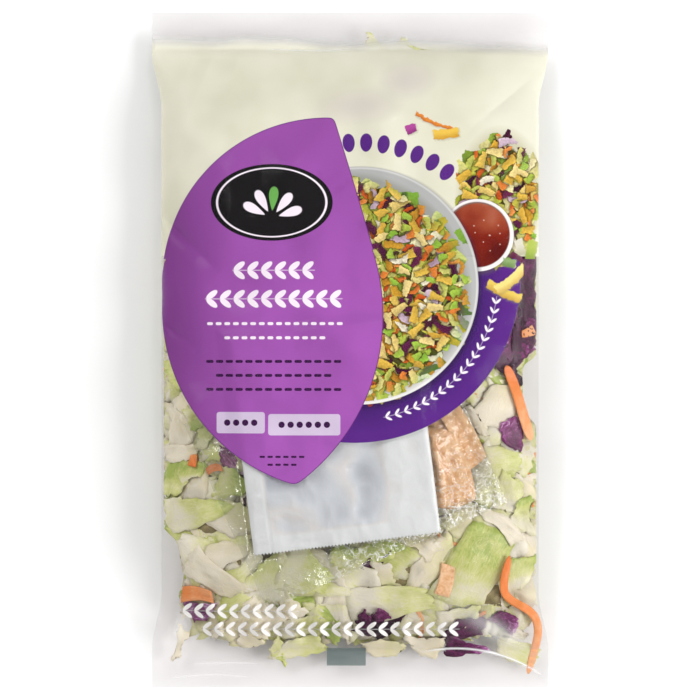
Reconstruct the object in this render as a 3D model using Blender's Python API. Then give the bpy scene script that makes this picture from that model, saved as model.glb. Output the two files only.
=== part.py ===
"""A sealed pillow bag of chopped salad, lying on its back with its printed side up.

The bag is one tube of clear film, welded flat across both ends and filled until its body swells.
Its solid is the whole closed form: the swollen body, the two flat end seals, the pleats that fan
out of the seals, the creases at the sides, the lumps that the leaves push into the film, and the
raised plateau of the dressing sachet that lies just under the front film.

Metres, +Z up, +Y towards the top of the pack, origin on the table under the middle of the bag.
"""

import bmesh
import bpy
import numpy as np

# The film tube and its filling.
BAG_LENGTH = 0.346  # over both end seals
SEAL_WIDTH = 0.203  # the tube pressed flat, across the end seals
BODY_WIDTH = 0.193  # the filled body, drawn in a little by its swelling
BODY_HEIGHT = 0.046  # from the table to the top of the filled body
SEAL_LENGTH = 0.0195  # one end seal, along the bag
SHOULDER_LENGTH = 0.030  # where the flat seal narrows into the body
SEAL_THICKNESS = 0.0010  # the two welded films, with the ripple that they hold

# How the filled bag lies.
SIDE_EDGE_HEIGHT = 0.0165  # the side edges are lifted by the round underside
SEAL_ROOT_HEIGHT = 0.0085  # where the end seals leave the body
SEAL_TIP_HEIGHT = 0.0050  # the end seals droop towards the table
SEAL_RIPPLE = 0.0011
SEAL_RIPPLE_LENGTH = 0.058

# The swelling, from 0 along the edge to 1 in the middle.
ACROSS_POWER, ACROSS_ROUNDNESS = 2.4, 0.56
ALONG_POWER, ALONG_ROUNDNESS = 3.2, 0.72
SETTLED_SHARE = 0.07  # how much fuller the lower half is
UNDERSIDE_FILL, UNDERSIDE_ROUNDNESS = 1.55, 0.80  # a fill over 1 presses the middle flat

# What shows in relief through the film.
LEAF_LUMPS = ((0.030, 0.0022, 11), (0.015, 0.0012, 12))  # spacing, height, seed
BACK_LUMPS = ((0.034, 0.0016, 21), (0.018, 0.0008, 22))
PLEAT_DEPTH = 0.0030
PLEAT_REACH = 0.024
PLEAT_SPACING = 0.0165
PLEAT_WANDER = 0.9

SACHET_WIDTH, SACHET_LENGTH = 0.0957, 0.112
SACHET_CENTRE = (-0.0082, -0.0435)
SACHET_TURN = np.radians(7.1)
SACHET_RISE = 0.0024
SACHET_SHOULDER = 0.006

# Creases: start, end, depth at the start, half width. Each fades out towards its end.
CREASES = (
    ((-0.0975, 0.0700), (-0.0660, 0.0390), 0.0085, 0.0050),
    ((-0.0975, 0.0150), (-0.0760, -0.0010), 0.0050, 0.0040),
    ((-0.0975, -0.0260), (-0.0800, -0.0300), 0.0035, 0.0040),
    ((0.0975, -0.0260), (0.0760, -0.0090), 0.0045, 0.0045),
    ((0.0975, 0.0930), (0.0700, 0.0840), 0.0040, 0.0050),
    ((0.0380, -0.1500), (0.0990, -0.1610), 0.0040, 0.0035),
    ((-0.0900, 0.1500), (-0.0300, 0.1480), 0.0040, 0.0040),
    ((-0.0850, -0.1350), (-0.0600, -0.1180), 0.0045, 0.0045),
    ((0.0880, 0.1350), (0.0560, 0.1080), 0.0035, 0.0050),
)

COLUMNS, ROWS = 38, 62  # quads across and along each film
EDGE_CROWDING = 0.55  # how far the columns crowd towards the round side edges

FILM_COLOUR = (0.80, 0.83, 0.66, 1.0)
FILM_ROUGHNESS = 0.22


def smoothstep(low, high, value):
    """0 below low, 1 above high, and a smooth S between them."""
    share = np.clip((value - low) / (high - low), 0.0, 1.0)
    return share * share * (3.0 - 2.0 * share)


def soft_noise(x, y, spacing, seed):
    """Seeded random heights from -1 to 1 on a square lattice, blended smoothly between its points."""
    cells = 64
    heights = np.random.RandomState(seed).uniform(-1.0, 1.0, (cells, cells))
    u, v = x / spacing + cells / 2, y / spacing + cells / 2
    i, j = np.floor(u).astype(int), np.floor(v).astype(int)
    a, b = smoothstep(0.0, 1.0, u - i), smoothstep(0.0, 1.0, v - j)
    near, far = i % cells, (i + 1) % cells
    low, high = j % cells, (j + 1) % cells
    lower = heights[near, low] * (1 - a) + heights[far, low] * a
    upper = heights[near, high] * (1 - a) + heights[far, high] * a
    return lower * (1 - b) + upper * b


def half_width(y):
    """The bag's half width: the flat tube at the end seals, drawn in along the body."""
    from_end = BAG_LENGTH / 2 - np.abs(y)
    drawn_in = smoothstep(SEAL_LENGTH, SEAL_LENGTH + SHOULDER_LENGTH, from_end)
    return (SEAL_WIDTH - (SEAL_WIDTH - BODY_WIDTH) * drawn_in) / 2


def swelling(across, y):
    """0 along the bag's edge and in the end seals, and 1 at its middle; across runs from -1 to 1."""
    body_end = BAG_LENGTH / 2 - SEAL_LENGTH
    along = np.clip(np.abs(y) / body_end, 0.0, 1.0)
    settled = 1.0 - SETTLED_SHARE * smoothstep(-body_end, body_end, y)
    section = np.clip(1.0 - np.abs(across) ** ACROSS_POWER, 0.0, 1.0) ** ACROSS_ROUNDNESS
    return section * settled * (1.0 - along**ALONG_POWER) ** ALONG_ROUNDNESS


def edge_height(x, y):
    """The height of the bag's edge: lifted along the sides, drooping and rippled along the end seals."""
    from_end = BAG_LENGTH / 2 - np.abs(y)
    along_sides = smoothstep(SEAL_LENGTH, 3.5 * SEAL_LENGTH, from_end)
    root = SEAL_ROOT_HEIGHT + (SIDE_EDGE_HEIGHT - SEAL_ROOT_HEIGHT) * along_sides
    in_seal = 1.0 - np.clip(from_end / SEAL_LENGTH, 0.0, 1.0)
    ripple = SEAL_RIPPLE * np.sin(2 * np.pi * x / SEAL_RIPPLE_LENGTH + np.sign(y))
    return root + in_seal * (SEAL_TIP_HEIGHT - SEAL_ROOT_HEIGHT + ripple)


def pleats(x, y):
    """Folds that fan out of each end seal and die away into the body."""
    from_seal = np.clip(BAG_LENGTH / 2 - SEAL_LENGTH - np.abs(y), 0.0, None)
    fan = x / (1.0 + 6.0 * from_seal)
    phase = fan / PLEAT_SPACING + PLEAT_WANDER * soft_noise(fan, np.sign(y) * 0.1, 0.03, 31)
    fold = 1.0 - 2.0 * np.abs(np.sin(np.pi * phase))
    rise = smoothstep(0.0, 0.35 * PLEAT_REACH, from_seal)
    return PLEAT_DEPTH * fold * rise * np.exp(-from_seal / PLEAT_REACH)


def creases(x, y):
    """How far the creases sink into the front film: a sharp valley that fades along its length."""
    sunk = np.zeros_like(x)
    for start, end, depth, width in CREASES:
        run = np.subtract(end, start)
        length = np.hypot(*run)
        along = ((x - start[0]) * run[0] + (y - start[1]) * run[1]) / length**2
        aside = np.abs((x - start[0]) * run[1] - (y - start[1]) * run[0]) / length
        fade = np.clip(1.0 - along, 0.0, 1.0) * smoothstep(-0.25, 0.0, along)
        sunk = sunk + depth * fade * np.exp(-aside / width)
    return sunk


def sachet_plateau(x, y):
    """The dressing sachet under the front film: a turned rectangle with soft shoulders."""
    dx, dy = x - SACHET_CENTRE[0], y - SACHET_CENTRE[1]
    u = dx * np.cos(SACHET_TURN) + dy * np.sin(SACHET_TURN)
    v = dy * np.cos(SACHET_TURN) - dx * np.sin(SACHET_TURN)
    inside = np.minimum(SACHET_WIDTH / 2 - np.abs(u), SACHET_LENGTH / 2 - np.abs(v))
    return SACHET_RISE * smoothstep(-SACHET_SHOULDER, SACHET_SHOULDER / 2, inside)


def lumps(x, y, layers):
    return sum(height * soft_noise(x, y, spacing, seed) for spacing, height, seed in layers)


def front_height(across, x, y):
    """The front film: it rises from the edge, and carries the leaves, pleats, creases and sachet."""
    swell = swelling(across, y)
    edge = edge_height(x, y)
    free = smoothstep(0.0, 0.45, swell)
    relief = lumps(x, y, LEAF_LUMPS) + sachet_plateau(x, y) - creases(x, y)
    folded = smoothstep(0.0, 0.12, swell) * pleats(x, y)
    full = edge + (BODY_HEIGHT - edge) * swell + free * relief + folded
    return np.maximum(full, edge) + SEAL_THICKNESS / 2


def back_height(across, x, y):
    """The back film: it sinks from the edge, lumps and pleats and all, until the table holds it flat."""
    swell = swelling(across, y)
    edge = edge_height(x, y) - SEAL_THICKNESS / 2
    hanging = np.clip(1.0 - UNDERSIDE_FILL * swell**UNDERSIDE_ROUNDNESS, 0.0, 1.0)
    folded = smoothstep(0.0, 0.12, swell) * pleats(x, y)
    return np.clip(hanging * (edge + lumps(x, y, BACK_LUMPS) + folded), 0.0, edge)


def add_film(shape, height):
    """One film as a grid across and along the bag, each point set at its height."""
    made = bmesh.ops.create_grid(shape, x_segments=COLUMNS, y_segments=ROWS, size=1.0)
    points = np.array([vert.co for vert in made["verts"]])
    crowded = np.sin(points[:, 0] * np.pi / 2)
    across = (1.0 - EDGE_CROWDING) * points[:, 0] + EDGE_CROWDING * crowded
    y = points[:, 1] * BAG_LENGTH / 2
    x = across * half_width(y)
    z = height(across, x, y)
    for vert, place in zip(made["verts"], np.stack([x, y, z], axis=1)):
        vert.co = place
    return made["verts"]


def film_material():
    material = bpy.data.materials.new("film_over_leaves")
    material.use_nodes = True
    shader = material.node_tree.nodes["Principled BSDF"]
    shader.inputs["Base Color"].default_value = FILM_COLOUR
    shader.inputs["Roughness"].default_value = FILM_ROUGHNESS
    return material


def make_bag():
    """The front and back films, joined round their rim into one closed body."""
    shape = bmesh.new()
    add_film(shape, front_height)
    add_film(shape, back_height)
    rim = [edge for edge in shape.edges if edge.is_boundary]
    bmesh.ops.bridge_loops(shape, edges=rim)
    bmesh.ops.recalc_face_normals(shape, faces=shape.faces)
    mesh = bpy.data.meshes.new("bag")
    shape.to_mesh(mesh)
    shape.free()
    mesh.shade_smooth()
    mesh.materials.append(film_material())
    return bpy.data.objects.new("bag", mesh)


def main():
    for old in list(bpy.data.objects):
        bpy.data.objects.remove(old)
    pack = bpy.data.collections.new("salad_kit")
    bpy.context.scene.collection.children.link(pack)
    pack.objects.link(make_bag())


main()
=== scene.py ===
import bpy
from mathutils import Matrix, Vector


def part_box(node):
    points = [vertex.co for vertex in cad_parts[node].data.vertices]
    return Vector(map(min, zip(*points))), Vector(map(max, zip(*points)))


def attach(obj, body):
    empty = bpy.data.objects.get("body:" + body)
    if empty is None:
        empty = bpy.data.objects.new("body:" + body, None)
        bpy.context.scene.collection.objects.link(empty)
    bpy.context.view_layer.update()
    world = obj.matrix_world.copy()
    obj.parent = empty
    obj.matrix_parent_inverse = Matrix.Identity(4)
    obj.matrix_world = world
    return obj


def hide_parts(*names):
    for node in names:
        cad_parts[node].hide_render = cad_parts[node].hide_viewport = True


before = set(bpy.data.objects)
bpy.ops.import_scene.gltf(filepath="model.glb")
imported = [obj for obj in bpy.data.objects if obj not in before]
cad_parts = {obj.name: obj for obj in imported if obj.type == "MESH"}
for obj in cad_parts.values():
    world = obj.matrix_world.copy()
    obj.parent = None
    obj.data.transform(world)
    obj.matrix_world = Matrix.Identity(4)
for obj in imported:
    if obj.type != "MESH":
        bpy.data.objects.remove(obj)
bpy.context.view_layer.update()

import bpy
import numpy as np
from mathutils import Vector

# The table and the studio. A plain pale table, seen from straight above by a long lens, as a pack shot is
# taken. A soft box on the right gives the form, and a smaller, weaker one fills from the upper left.
# Both stand out of the film's mirror direction, and two small lamps draw glints along the sharp creases.
FRAME_SIDE = 0.3584  # what the picture shows, across
LENS_MM, SENSOR_MM = 360.0, 36.0
FOCUS_HEIGHT = 0.012  # the height of the bag's outline above the table
TABLE_SIDE, TABLE_HEIGHT = 6.0, -0.0002
TABLE_COLOUR = "#f6f6f6"
ROOM_LIGHT = 0.56
LAMPS = (  # place, size, power in watts
    ((1.70, -0.40, 1.15), (1.10, 1.10), 34.0),
    ((-1.10, 1.00, 1.35), (0.90, 0.90), 15.0),
    ((-1.10, -0.90, 1.55), (0.12, 0.12), 2.4),
    ((0.35, 1.45, 1.60), (0.30, 0.06), 2.0),
)


def linear(colour):
    """An sRGB hex colour as linear red, green and blue, with an alpha of 1."""
    shares = [int(colour[i : i + 2], 16) / 255 for i in (1, 3, 5)]
    return (*(c / 12.92 if c < 0.04045 else ((c + 0.055) / 1.055) ** 2.4 for c in shares), 1.0)


def material_of(name):
    """A new material, and a function that adds one node to it. The function's values fill the node's
    sockets in order, as links or constants; a name with a capital is a socket, and any other is a setting.
    """
    material = bpy.data.materials.new(name)
    material.use_nodes = True
    tree = material.node_tree
    tree.nodes.clear()

    def feed(socket, value):
        if isinstance(value, bpy.types.NodeSocket):
            tree.links.new(value, socket)
        else:
            socket.default_value = linear(value) if isinstance(value, str) else value

    def add(kind, *values, out=0, stops=(), **named):
        node = tree.nodes.new("ShaderNode" + kind)
        for name, value in named.items():
            if name[0].islower():
                setattr(node, name, value)
        for name, value in named.items():
            if name[0].isupper():
                feed(node.inputs[name.replace("_", " ")], value)
        for socket, value in zip(node.inputs, values):
            if value is not None:
                feed(socket, value)
        for index, (place, colour) in enumerate(stops):
            ramp = node.color_ramp.elements
            stop = ramp[index] if index < 2 else ramp.new(place)
            stop.position, stop.color = place, linear(colour)
        return node.outputs[out] if node.outputs else node

    return material, add


def finish_with(add, surface):
    add("OutputMaterial", surface)


table_mesh = bpy.data.meshes.new("table")
half = TABLE_SIDE / 2
table_outline = ((-half, -half), (half, -half), (half, half), (-half, half))
table_corners = [(x, y, TABLE_HEIGHT) for x, y in table_outline]
table_mesh.from_pydata(table_corners, [], [(0, 1, 2, 3)])
table = bpy.data.objects.new("table", table_mesh)
bpy.context.scene.collection.objects.link(table)
material, add = material_of("painted_board")
finish_with(add, add("BsdfPrincipled", Base_Color=TABLE_COLOUR, Roughness=0.9))
table_mesh.materials.append(material)

camera = bpy.data.objects.new("camera", bpy.data.cameras.new("camera"))
bpy.context.scene.collection.objects.link(camera)
camera.data.lens, camera.data.sensor_width = LENS_MM, SENSOR_MM
camera.location = (0.0, 0.0, FOCUS_HEIGHT + LENS_MM / SENSOR_MM * FRAME_SIDE)
camera.data.clip_end = 50.0
bpy.context.scene.camera = camera

for number, (place, size, power) in enumerate(LAMPS):
    light = bpy.data.lights.new(f"lamp_{number}", "AREA")
    light.shape, light.energy = "RECTANGLE", power
    light.size, light.size_y = size
    lamp = bpy.data.objects.new(light.name, light)
    lamp.location = place
    lamp.rotation_euler = Vector(place).to_track_quat("Z", "Y").to_euler()
    bpy.context.scene.collection.objects.link(lamp)

world = bpy.data.worlds.new("studio")
world.use_nodes = True
world.node_tree.nodes["Background"].inputs["Color"].default_value = linear("#ffffff")
world.node_tree.nodes["Background"].inputs["Strength"].default_value = ROOM_LIGHT
bpy.context.scene.world = world
bpy.context.scene.view_settings.view_transform = "Standard"

# The film bag. One tube of clear polypropylene film, welded flat across both ends on the filling line, and
# swollen by its filling. Its front carries the print on the film's inner side. The film is cut from the
# same form as the frame's solid, with the finer creases that a thin film takes.
(left, foot, _), (right, head, _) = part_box("bag")
BAG_LENGTH, SEAL_WIDTH = head - foot, right - left
BODY_WIDTH, BODY_HEIGHT = 0.193, 0.046
SEAL_LENGTH, SHOULDER_LENGTH = 0.0195, 0.030
SIDE_EDGE_HEIGHT, SEAL_ROOT_HEIGHT, SEAL_TIP_HEIGHT = 0.0165, 0.0085, 0.0050
SEAL_RIPPLE, SEAL_RIPPLE_LENGTH = 0.0011, 0.058
ACROSS_POWER, ACROSS_ROUNDNESS = 2.4, 0.56
ALONG_POWER, ALONG_ROUNDNESS = 3.2, 0.72
SETTLED_SHARE = 0.07
UNDERSIDE_FILL, UNDERSIDE_ROUNDNESS = 1.55, 0.80
LEAF_LUMPS = ((0.030, 0.0022, 11), (0.015, 0.0012, 12))
BACK_LUMPS = ((0.034, 0.0016, 21), (0.018, 0.0008, 22))
PLEAT_DEPTH, PLEAT_REACH, PLEAT_SPACING, PLEAT_WANDER = 0.0030, 0.024, 0.0165, 0.9
HEAD_PLEATS = 0.05  # how deep the head's pleats are beside the foot's
SACHET_WIDTH, SACHET_LENGTH = 0.0957, 0.112
SACHET_CENTRE, SACHET_TURN = (-0.0082, -0.0435), np.radians(7.1)
SACHET_RISE, SACHET_SHOULDER = 0.0024, 0.006
CREASES = (
    ((-0.0975, 0.0700), (-0.0660, 0.0390), 0.0085, 0.0050),
    ((-0.0975, 0.0150), (-0.0760, -0.0010), 0.0050, 0.0040),
    ((-0.0975, -0.0260), (-0.0800, -0.0300), 0.0035, 0.0040),
    ((0.0975, -0.0260), (0.0760, -0.0090), 0.0045, 0.0045),
    ((0.0975, 0.0930), (0.0700, 0.0840), 0.0040, 0.0050),
    ((0.0380, -0.1500), (0.0990, -0.1610), 0.0040, 0.0035),
    ((-0.0900, 0.1500), (-0.0300, 0.1480), 0.0040, 0.0040),
    ((-0.0850, -0.1350), (-0.0600, -0.1180), 0.0045, 0.0045),
    ((0.0880, 0.1350), (0.0560, 0.1080), 0.0035, 0.0050),
)
WELD_GAP = 0.00012  # half the gap between the two films in the seals
BROAD_CREASE, FINE_CREASE, SEAL_CREASE = 0.00050, 0.00018, 0.0006  # how deep the thin film's creases are
WRINKLE_DEPTH, WRINKLE_SPACING = 0.00028, 0.0043
EDGE_CROWDING = 0.55


def smoothstep(low, high, value):
    """0 below low, 1 above high, and a smooth S between them."""
    share = np.clip((value - low) / (high - low), 0.0, 1.0)
    return share * share * (3.0 - 2.0 * share)


def soft_noise(x, y, spacing, seed):
    """Seeded random heights from -1 to 1 on a square lattice, blended smoothly between its points."""
    cells = 64
    heights = np.random.RandomState(seed).uniform(-1.0, 1.0, (cells, cells))
    u, v = x / spacing + cells / 2, y / spacing + cells / 2
    i, j = np.floor(u).astype(int), np.floor(v).astype(int)
    a, b = smoothstep(0.0, 1.0, u - i), smoothstep(0.0, 1.0, v - j)
    near, far, low, high = i % cells, (i + 1) % cells, j % cells, (j + 1) % cells
    lower = heights[near, low] * (1 - a) + heights[far, low] * a
    upper = heights[near, high] * (1 - a) + heights[far, high] * a
    return lower * (1 - b) + upper * b


def half_width(y):
    """The flat tube's half width at the end seals, drawn in by an S curve along the body."""
    from_end = BAG_LENGTH / 2 - np.abs(y)
    drawn_in = smoothstep(SEAL_LENGTH, SEAL_LENGTH + SHOULDER_LENGTH, from_end)
    return (SEAL_WIDTH - (SEAL_WIDTH - BODY_WIDTH) * drawn_in) / 2


def swelling(across, y):
    """A superellipse across times a superellipse along: 0 at the bag's edge, and 1 at its middle."""
    body_end = BAG_LENGTH / 2 - SEAL_LENGTH
    along = np.clip(np.abs(y) / body_end, 0.0, 1.0)
    settled = 1.0 - SETTLED_SHARE * smoothstep(-body_end, body_end, y)
    section = np.clip(1.0 - np.abs(across) ** ACROSS_POWER, 0.0, 1.0) ** ACROSS_ROUNDNESS
    return section * settled * (1.0 - along**ALONG_POWER) ** ALONG_ROUNDNESS


def edge_height(x, y):
    """The edge's height: lifted along the sides, and falling along a sine ripple to the seals' ends."""
    from_end = BAG_LENGTH / 2 - np.abs(y)
    along_sides = smoothstep(SEAL_LENGTH, 3.5 * SEAL_LENGTH, from_end)
    root = SEAL_ROOT_HEIGHT + (SIDE_EDGE_HEIGHT - SEAL_ROOT_HEIGHT) * along_sides
    in_seal = 1.0 - np.clip(from_end / SEAL_LENGTH, 0.0, 1.0)
    ripple = SEAL_RIPPLE * np.sin(2 * np.pi * x / SEAL_RIPPLE_LENGTH + np.sign(y))
    return root + in_seal * (SEAL_TIP_HEIGHT - SEAL_ROOT_HEIGHT + ripple)


def pleats(x, y):
    """Folded waves that fan out of each end seal and decay exponentially into the body."""
    from_seal = np.clip(BAG_LENGTH / 2 - SEAL_LENGTH - np.abs(y), 0.0, None)
    fan = x / (1.0 + 6.0 * from_seal)
    phase = fan / PLEAT_SPACING + PLEAT_WANDER * soft_noise(fan, np.sign(y) * 0.1, 0.03, 31)
    fold = 1.0 - 2.0 * np.abs(np.sin(np.pi * phase))
    rise = smoothstep(0.0, 0.35 * PLEAT_REACH, from_seal)
    depth = PLEAT_DEPTH * np.where(y > 0.0, HEAD_PLEATS, 1.0)
    return depth * fold * rise * np.exp(-from_seal / PLEAT_REACH)


def creases(x, y):
    """Each crease is a valley with an exponential section, which fades linearly along its run."""
    sunk = np.zeros_like(x)
    for start, end, depth, width in CREASES:
        run = np.subtract(end, start)
        length = np.hypot(*run)
        along = ((x - start[0]) * run[0] + (y - start[1]) * run[1]) / length**2
        aside = np.abs((x - start[0]) * run[1] - (y - start[1]) * run[0]) / length
        fade = np.clip(1.0 - along, 0.0, 1.0) * smoothstep(-0.25, 0.0, along)
        sunk = sunk + depth * fade * np.exp(-aside / width)
    return sunk


def in_packet(x, y, centre, turn):
    """A place turned into a packet's own axes, across and along it from its middle."""
    dx, dy = x - centre[0], y - centre[1]
    cos, sin = np.cos(turn), np.sin(turn)
    return dx * cos + dy * sin, dy * cos - dx * sin


def out_of_packet(u, v, centre, turn):
    """A place in a packet's own axes, turned back into the bag's."""
    cos, sin = np.cos(turn), np.sin(turn)
    return centre[0] + u * cos - v * sin, centre[1] + u * sin + v * cos


def within(u, v, width, length):
    """How far inside a rectangle round the origin a place is: the least distance to its four sides."""
    return np.minimum(width / 2 - np.abs(u), length / 2 - np.abs(v))


def sachet_plateau(x, y):
    """The film's rise over the sachet: a turned rectangle with S-shaped shoulders."""
    inside = within(*in_packet(x, y, SACHET_CENTRE, SACHET_TURN), SACHET_WIDTH, SACHET_LENGTH)
    return SACHET_RISE * smoothstep(-SACHET_SHOULDER, SACHET_SHOULDER / 2, inside)


def lumps(x, y, layers):
    return sum(height * soft_noise(x, y, spacing, seed) for spacing, height, seed in layers)


def front_height(x, y):
    """The front film: the edge's height plus the swelling, with leaf lumps, pleats, creases and sachet."""
    swell = swelling(x / half_width(y), y)
    edge = edge_height(x, y)
    relief = lumps(x, y, LEAF_LUMPS) + sachet_plateau(x, y) - creases(x, y)
    folded = smoothstep(0.0, 0.12, swell) * pleats(x, y)
    full = edge + (BODY_HEIGHT - edge) * swell + smoothstep(0.0, 0.45, swell) * relief + folded
    return np.maximum(full, edge)


def back_height(x, y):
    """The back film: the edge's height, sinking by a power of the swelling until the table stops it."""
    swell = swelling(x / half_width(y), y)
    edge = edge_height(x, y)
    hanging = np.clip(1.0 - UNDERSIDE_FILL * swell**UNDERSIDE_ROUNDNESS, 0.0, 1.0)
    folded = smoothstep(0.0, 0.12, swell) * pleats(x, y)
    return np.clip(hanging * (edge + lumps(x, y, BACK_LUMPS) + folded), 0.0, edge)


def ridges(x, y, spacing, seed):
    """Sharp creases where a soft noise crosses zero: 1 on the crease, falling to 0 between creases."""
    return 1.0 - np.abs(soft_noise(x, y, spacing, seed)) * 2.0


def film_creases(x, y):
    """The thin film's own creases: short slack folds along the body, and finer ones near the seals."""
    warp_x = x + 0.006 * soft_noise(x, y, 0.022, 41)
    warp_y = y + 0.006 * soft_noise(x, y, 0.022, 42)
    slack = smoothstep(-0.02, -0.10, y) + 0.18
    broad = BROAD_CREASE * ridges(warp_x, warp_y * 1.4, 0.017, 43)
    fine = FINE_CREASE * ridges(warp_x * 1.2, warp_y, 0.0075, 44)
    near_seal = np.exp(-np.clip(BAG_LENGTH / 2 - SEAL_LENGTH - np.abs(y), 0.0, None) / 0.012)
    short = SEAL_CREASE * ridges(x, y * 0.25, 0.0065, 45) * near_seal * np.where(y > 0.0, HEAD_PLEATS, 1.0)
    return slack * (broad + fine) + short


def seal_wrinkles(x, y):
    """Fine wrinkles along the end seals, from the jaws' grip: a sine whose phase and strength wander."""
    in_seal = smoothstep(0.0, 0.004, np.abs(y) - BAG_LENGTH / 2 + SEAL_LENGTH)
    phase = y / WRINKLE_SPACING + 0.9 * soft_noise(x * 0.35, y, 0.012, 47)
    strength = smoothstep(-0.2, 0.9, soft_noise(x * 0.5, y, 0.016, 48))
    return WRINKLE_DEPTH * in_seal * strength * (1.0 + np.sin(2 * np.pi * phase))


def bag_grid(columns, rows):
    """Places across and along the flat tube; a sine crowds the columns towards the side edges."""
    across = np.linspace(-1.0, 1.0, columns + 1)
    across = (1.0 - EDGE_CROWDING) * across + EDGE_CROWDING * np.sin(across * np.pi / 2)
    y = np.linspace(-BAG_LENGTH / 2, BAG_LENGTH / 2, rows + 1)
    across, y = np.meshgrid(across, y)
    return across, across * half_width(y), y


def grid_faces(rows, columns, first=0):
    """The quads of a grid of points stored row by row, wound so that they face up."""
    corner = first + np.arange(rows - 1)[:, None] * columns + np.arange(columns - 1)[None, :]
    quads = np.stack([corner, corner + 1, corner + columns + 1, corner + columns], axis=-1)
    return quads.reshape(-1, 4)


def new_piece(name, points, quads, material, slot, crisp=None):
    """A mesh from whole arrays of points and quads, riding on the bag's one body. Its faces are smooth,
    apart from those marked crisp.
    """
    mesh = bpy.data.meshes.new(name)
    mesh.vertices.add(len(points))
    mesh.vertices.foreach_set("co", np.ascontiguousarray(points, np.float32).ravel())
    mesh.loops.add(quads.size)
    mesh.loops.foreach_set("vertex_index", np.ascontiguousarray(quads, np.int32).ravel())
    mesh.polygons.add(len(quads))
    mesh.polygons.foreach_set("loop_start", np.arange(0, quads.size, 4, dtype=np.int32))
    mesh.update(calc_edges=True)
    mesh.shade_smooth()
    if crisp is not None:
        mesh.polygons.foreach_set("use_smooth", ~crisp)
    mesh.materials.append(material)
    piece = bpy.data.objects.new(name, mesh)
    bpy.context.scene.collection.objects.link(piece)
    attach(piece, "root")
    return piece


def film_height(x, y):
    """The front film with its creases, pinched onto the edge all round."""
    edge = 1.0 - 2 * np.abs(y) / BAG_LENGTH
    rim = np.minimum(1.0, 40.0 * np.minimum(1.0 - np.abs(x) / half_width(y), edge))
    free = smoothstep(0.0, 0.25, swelling(x / half_width(y), y))
    z = front_height(x, y) + rim * (WELD_GAP + seal_wrinkles(x, y)) + free * film_creases(x, y)
    return np.maximum(z, edge_height(x, y))


def closed_pieces(upper, lower):
    """Pairs of like grids, each joined round its margin into one closed body: the lower grid is wound the
    other way, and a strip of quads runs round the rim. Gives the points, the quads and which are the rim's.
    """
    count, rows, columns, _ = upper.shape
    points = np.concatenate([upper.reshape(count, -1, 3), lower.reshape(count, -1, 3)], axis=1)
    below, face_up = rows * columns, grid_faces(rows, columns)
    index = np.arange(below).reshape(rows, columns)
    rim = np.concatenate([index[0], index[1:, -1], index[-1, -2::-1], index[-2:0:-1, 0]])
    beyond = np.roll(rim, -1)
    strip = np.stack([rim, rim + below, beyond + below, beyond], axis=-1)
    one = np.concatenate([face_up, face_up[:, ::-1] + below, strip])
    quads = one[None] + (np.arange(count) * 2 * below)[:, None, None]
    rims = np.tile(np.arange(len(one)) >= 2 * len(face_up), count)
    return points.reshape(-1, 3), quads.reshape(-1, 4), rims


def add_values(piece, **named):
    """Writes a number, or a vector, for each point of a mesh, for its material to read."""
    for name, values in named.items():
        vector = values.size == 3 * len(piece.data.vertices)
        layer = piece.data.attributes.new(name, "FLOAT_VECTOR" if vector else "FLOAT", "POINT")
        numbers = np.ascontiguousarray(values, np.float32).ravel()
        layer.data.foreach_set("vector" if vector else "value", numbers)


# The dressing sachet. A flat pouch of white satin laminate, filled with thick dressing and heat-sealed
# along its side and ends, its foot cut with a zigzag blade. It lies against the front film.
SACHET_GAP, SACHET_SKIN, SACHET_FILL = 0.0010, 0.0005, 0.0058
SACHET_SIDE_SEAL, SACHET_END_SEAL, SACHET_SEAL_DROP = 0.0092, 0.0085, 0.0012
SACHET_TEETH, TOOTH_DEPTH = 56, 0.0010
SACHET_FOLD, SACHET_FOLD_WIDTH, SACHET_FOLD_DEPTH = 0.0175, 0.0085, 0.0020
SACHET_FACETS, SACHET_KINKS = 0.0021, 0.0014
SACHET_ROWS = 150
# The laminate's colours: painted shade at 0, the body, painted light at 0.8, and the seals' own paler white
# at 1.
LAMINATE_TONES = ((0.0, "#9da1a8"), (0.5, "#c4c8cc"), (0.8, "#d0cecc"), (1.0, "#d3d6d5"))


def sachet_fill(u, v):
    """How full the sachet is, from 0 at its seals to 1: a superellipse each way between the seals."""
    across = (u - SACHET_SIDE_SEAL / 2) / (SACHET_WIDTH / 2 - SACHET_SIDE_SEAL / 2)
    along = v / (SACHET_LENGTH / 2 - SACHET_END_SEAL)
    bulge = np.clip(1.0 - np.abs(across) ** 3.2, 0.0, 1.0) ** 0.6
    return bulge * np.clip(1.0 - np.abs(along) ** 4.0, 0.0, 1.0) ** 0.6


def wide_facets(u, v):
    """The laminate's large kinks, as ridges of a soft noise that is skewed across the sachet."""
    return ridges(u * 0.8 + v * 0.5, v * 0.7 - u * 0.3, 0.024, 61)


def sachet_relief(u, v):
    """How far the sachet's face lies below its highest level: its seals, one soft fold along it, facets
    where the laminate kinks, and short pinches along the end seal.
    """
    fill = sachet_fill(u, v)
    fold = SACHET_FOLD_DEPTH * np.exp(-(((u - SACHET_FOLD - 0.04 * v) / SACHET_FOLD_WIDTH) ** 2))
    facets = SACHET_FACETS * (1.0 - wide_facets(u, v)) / 2
    kinks = SACHET_KINKS * (1.0 - ridges(u, v, 0.010, 62)) / 2
    near_foot = np.exp(-np.abs(v + SACHET_LENGTH / 2 - SACHET_END_SEAL) / 0.006)
    pinches = 0.0011 * near_foot * (1.0 - ridges(u, v * 0.2, 0.0055, 63)) / 2
    seal_line = 0.0005 * np.exp(-((np.abs(u + SACHET_WIDTH / 2 - SACHET_SIDE_SEAL) / 0.0007) ** 2))
    return (1.0 - fill) * SACHET_SEAL_DROP + fill * (fold + facets + kinks) + pinches + seal_line


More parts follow.
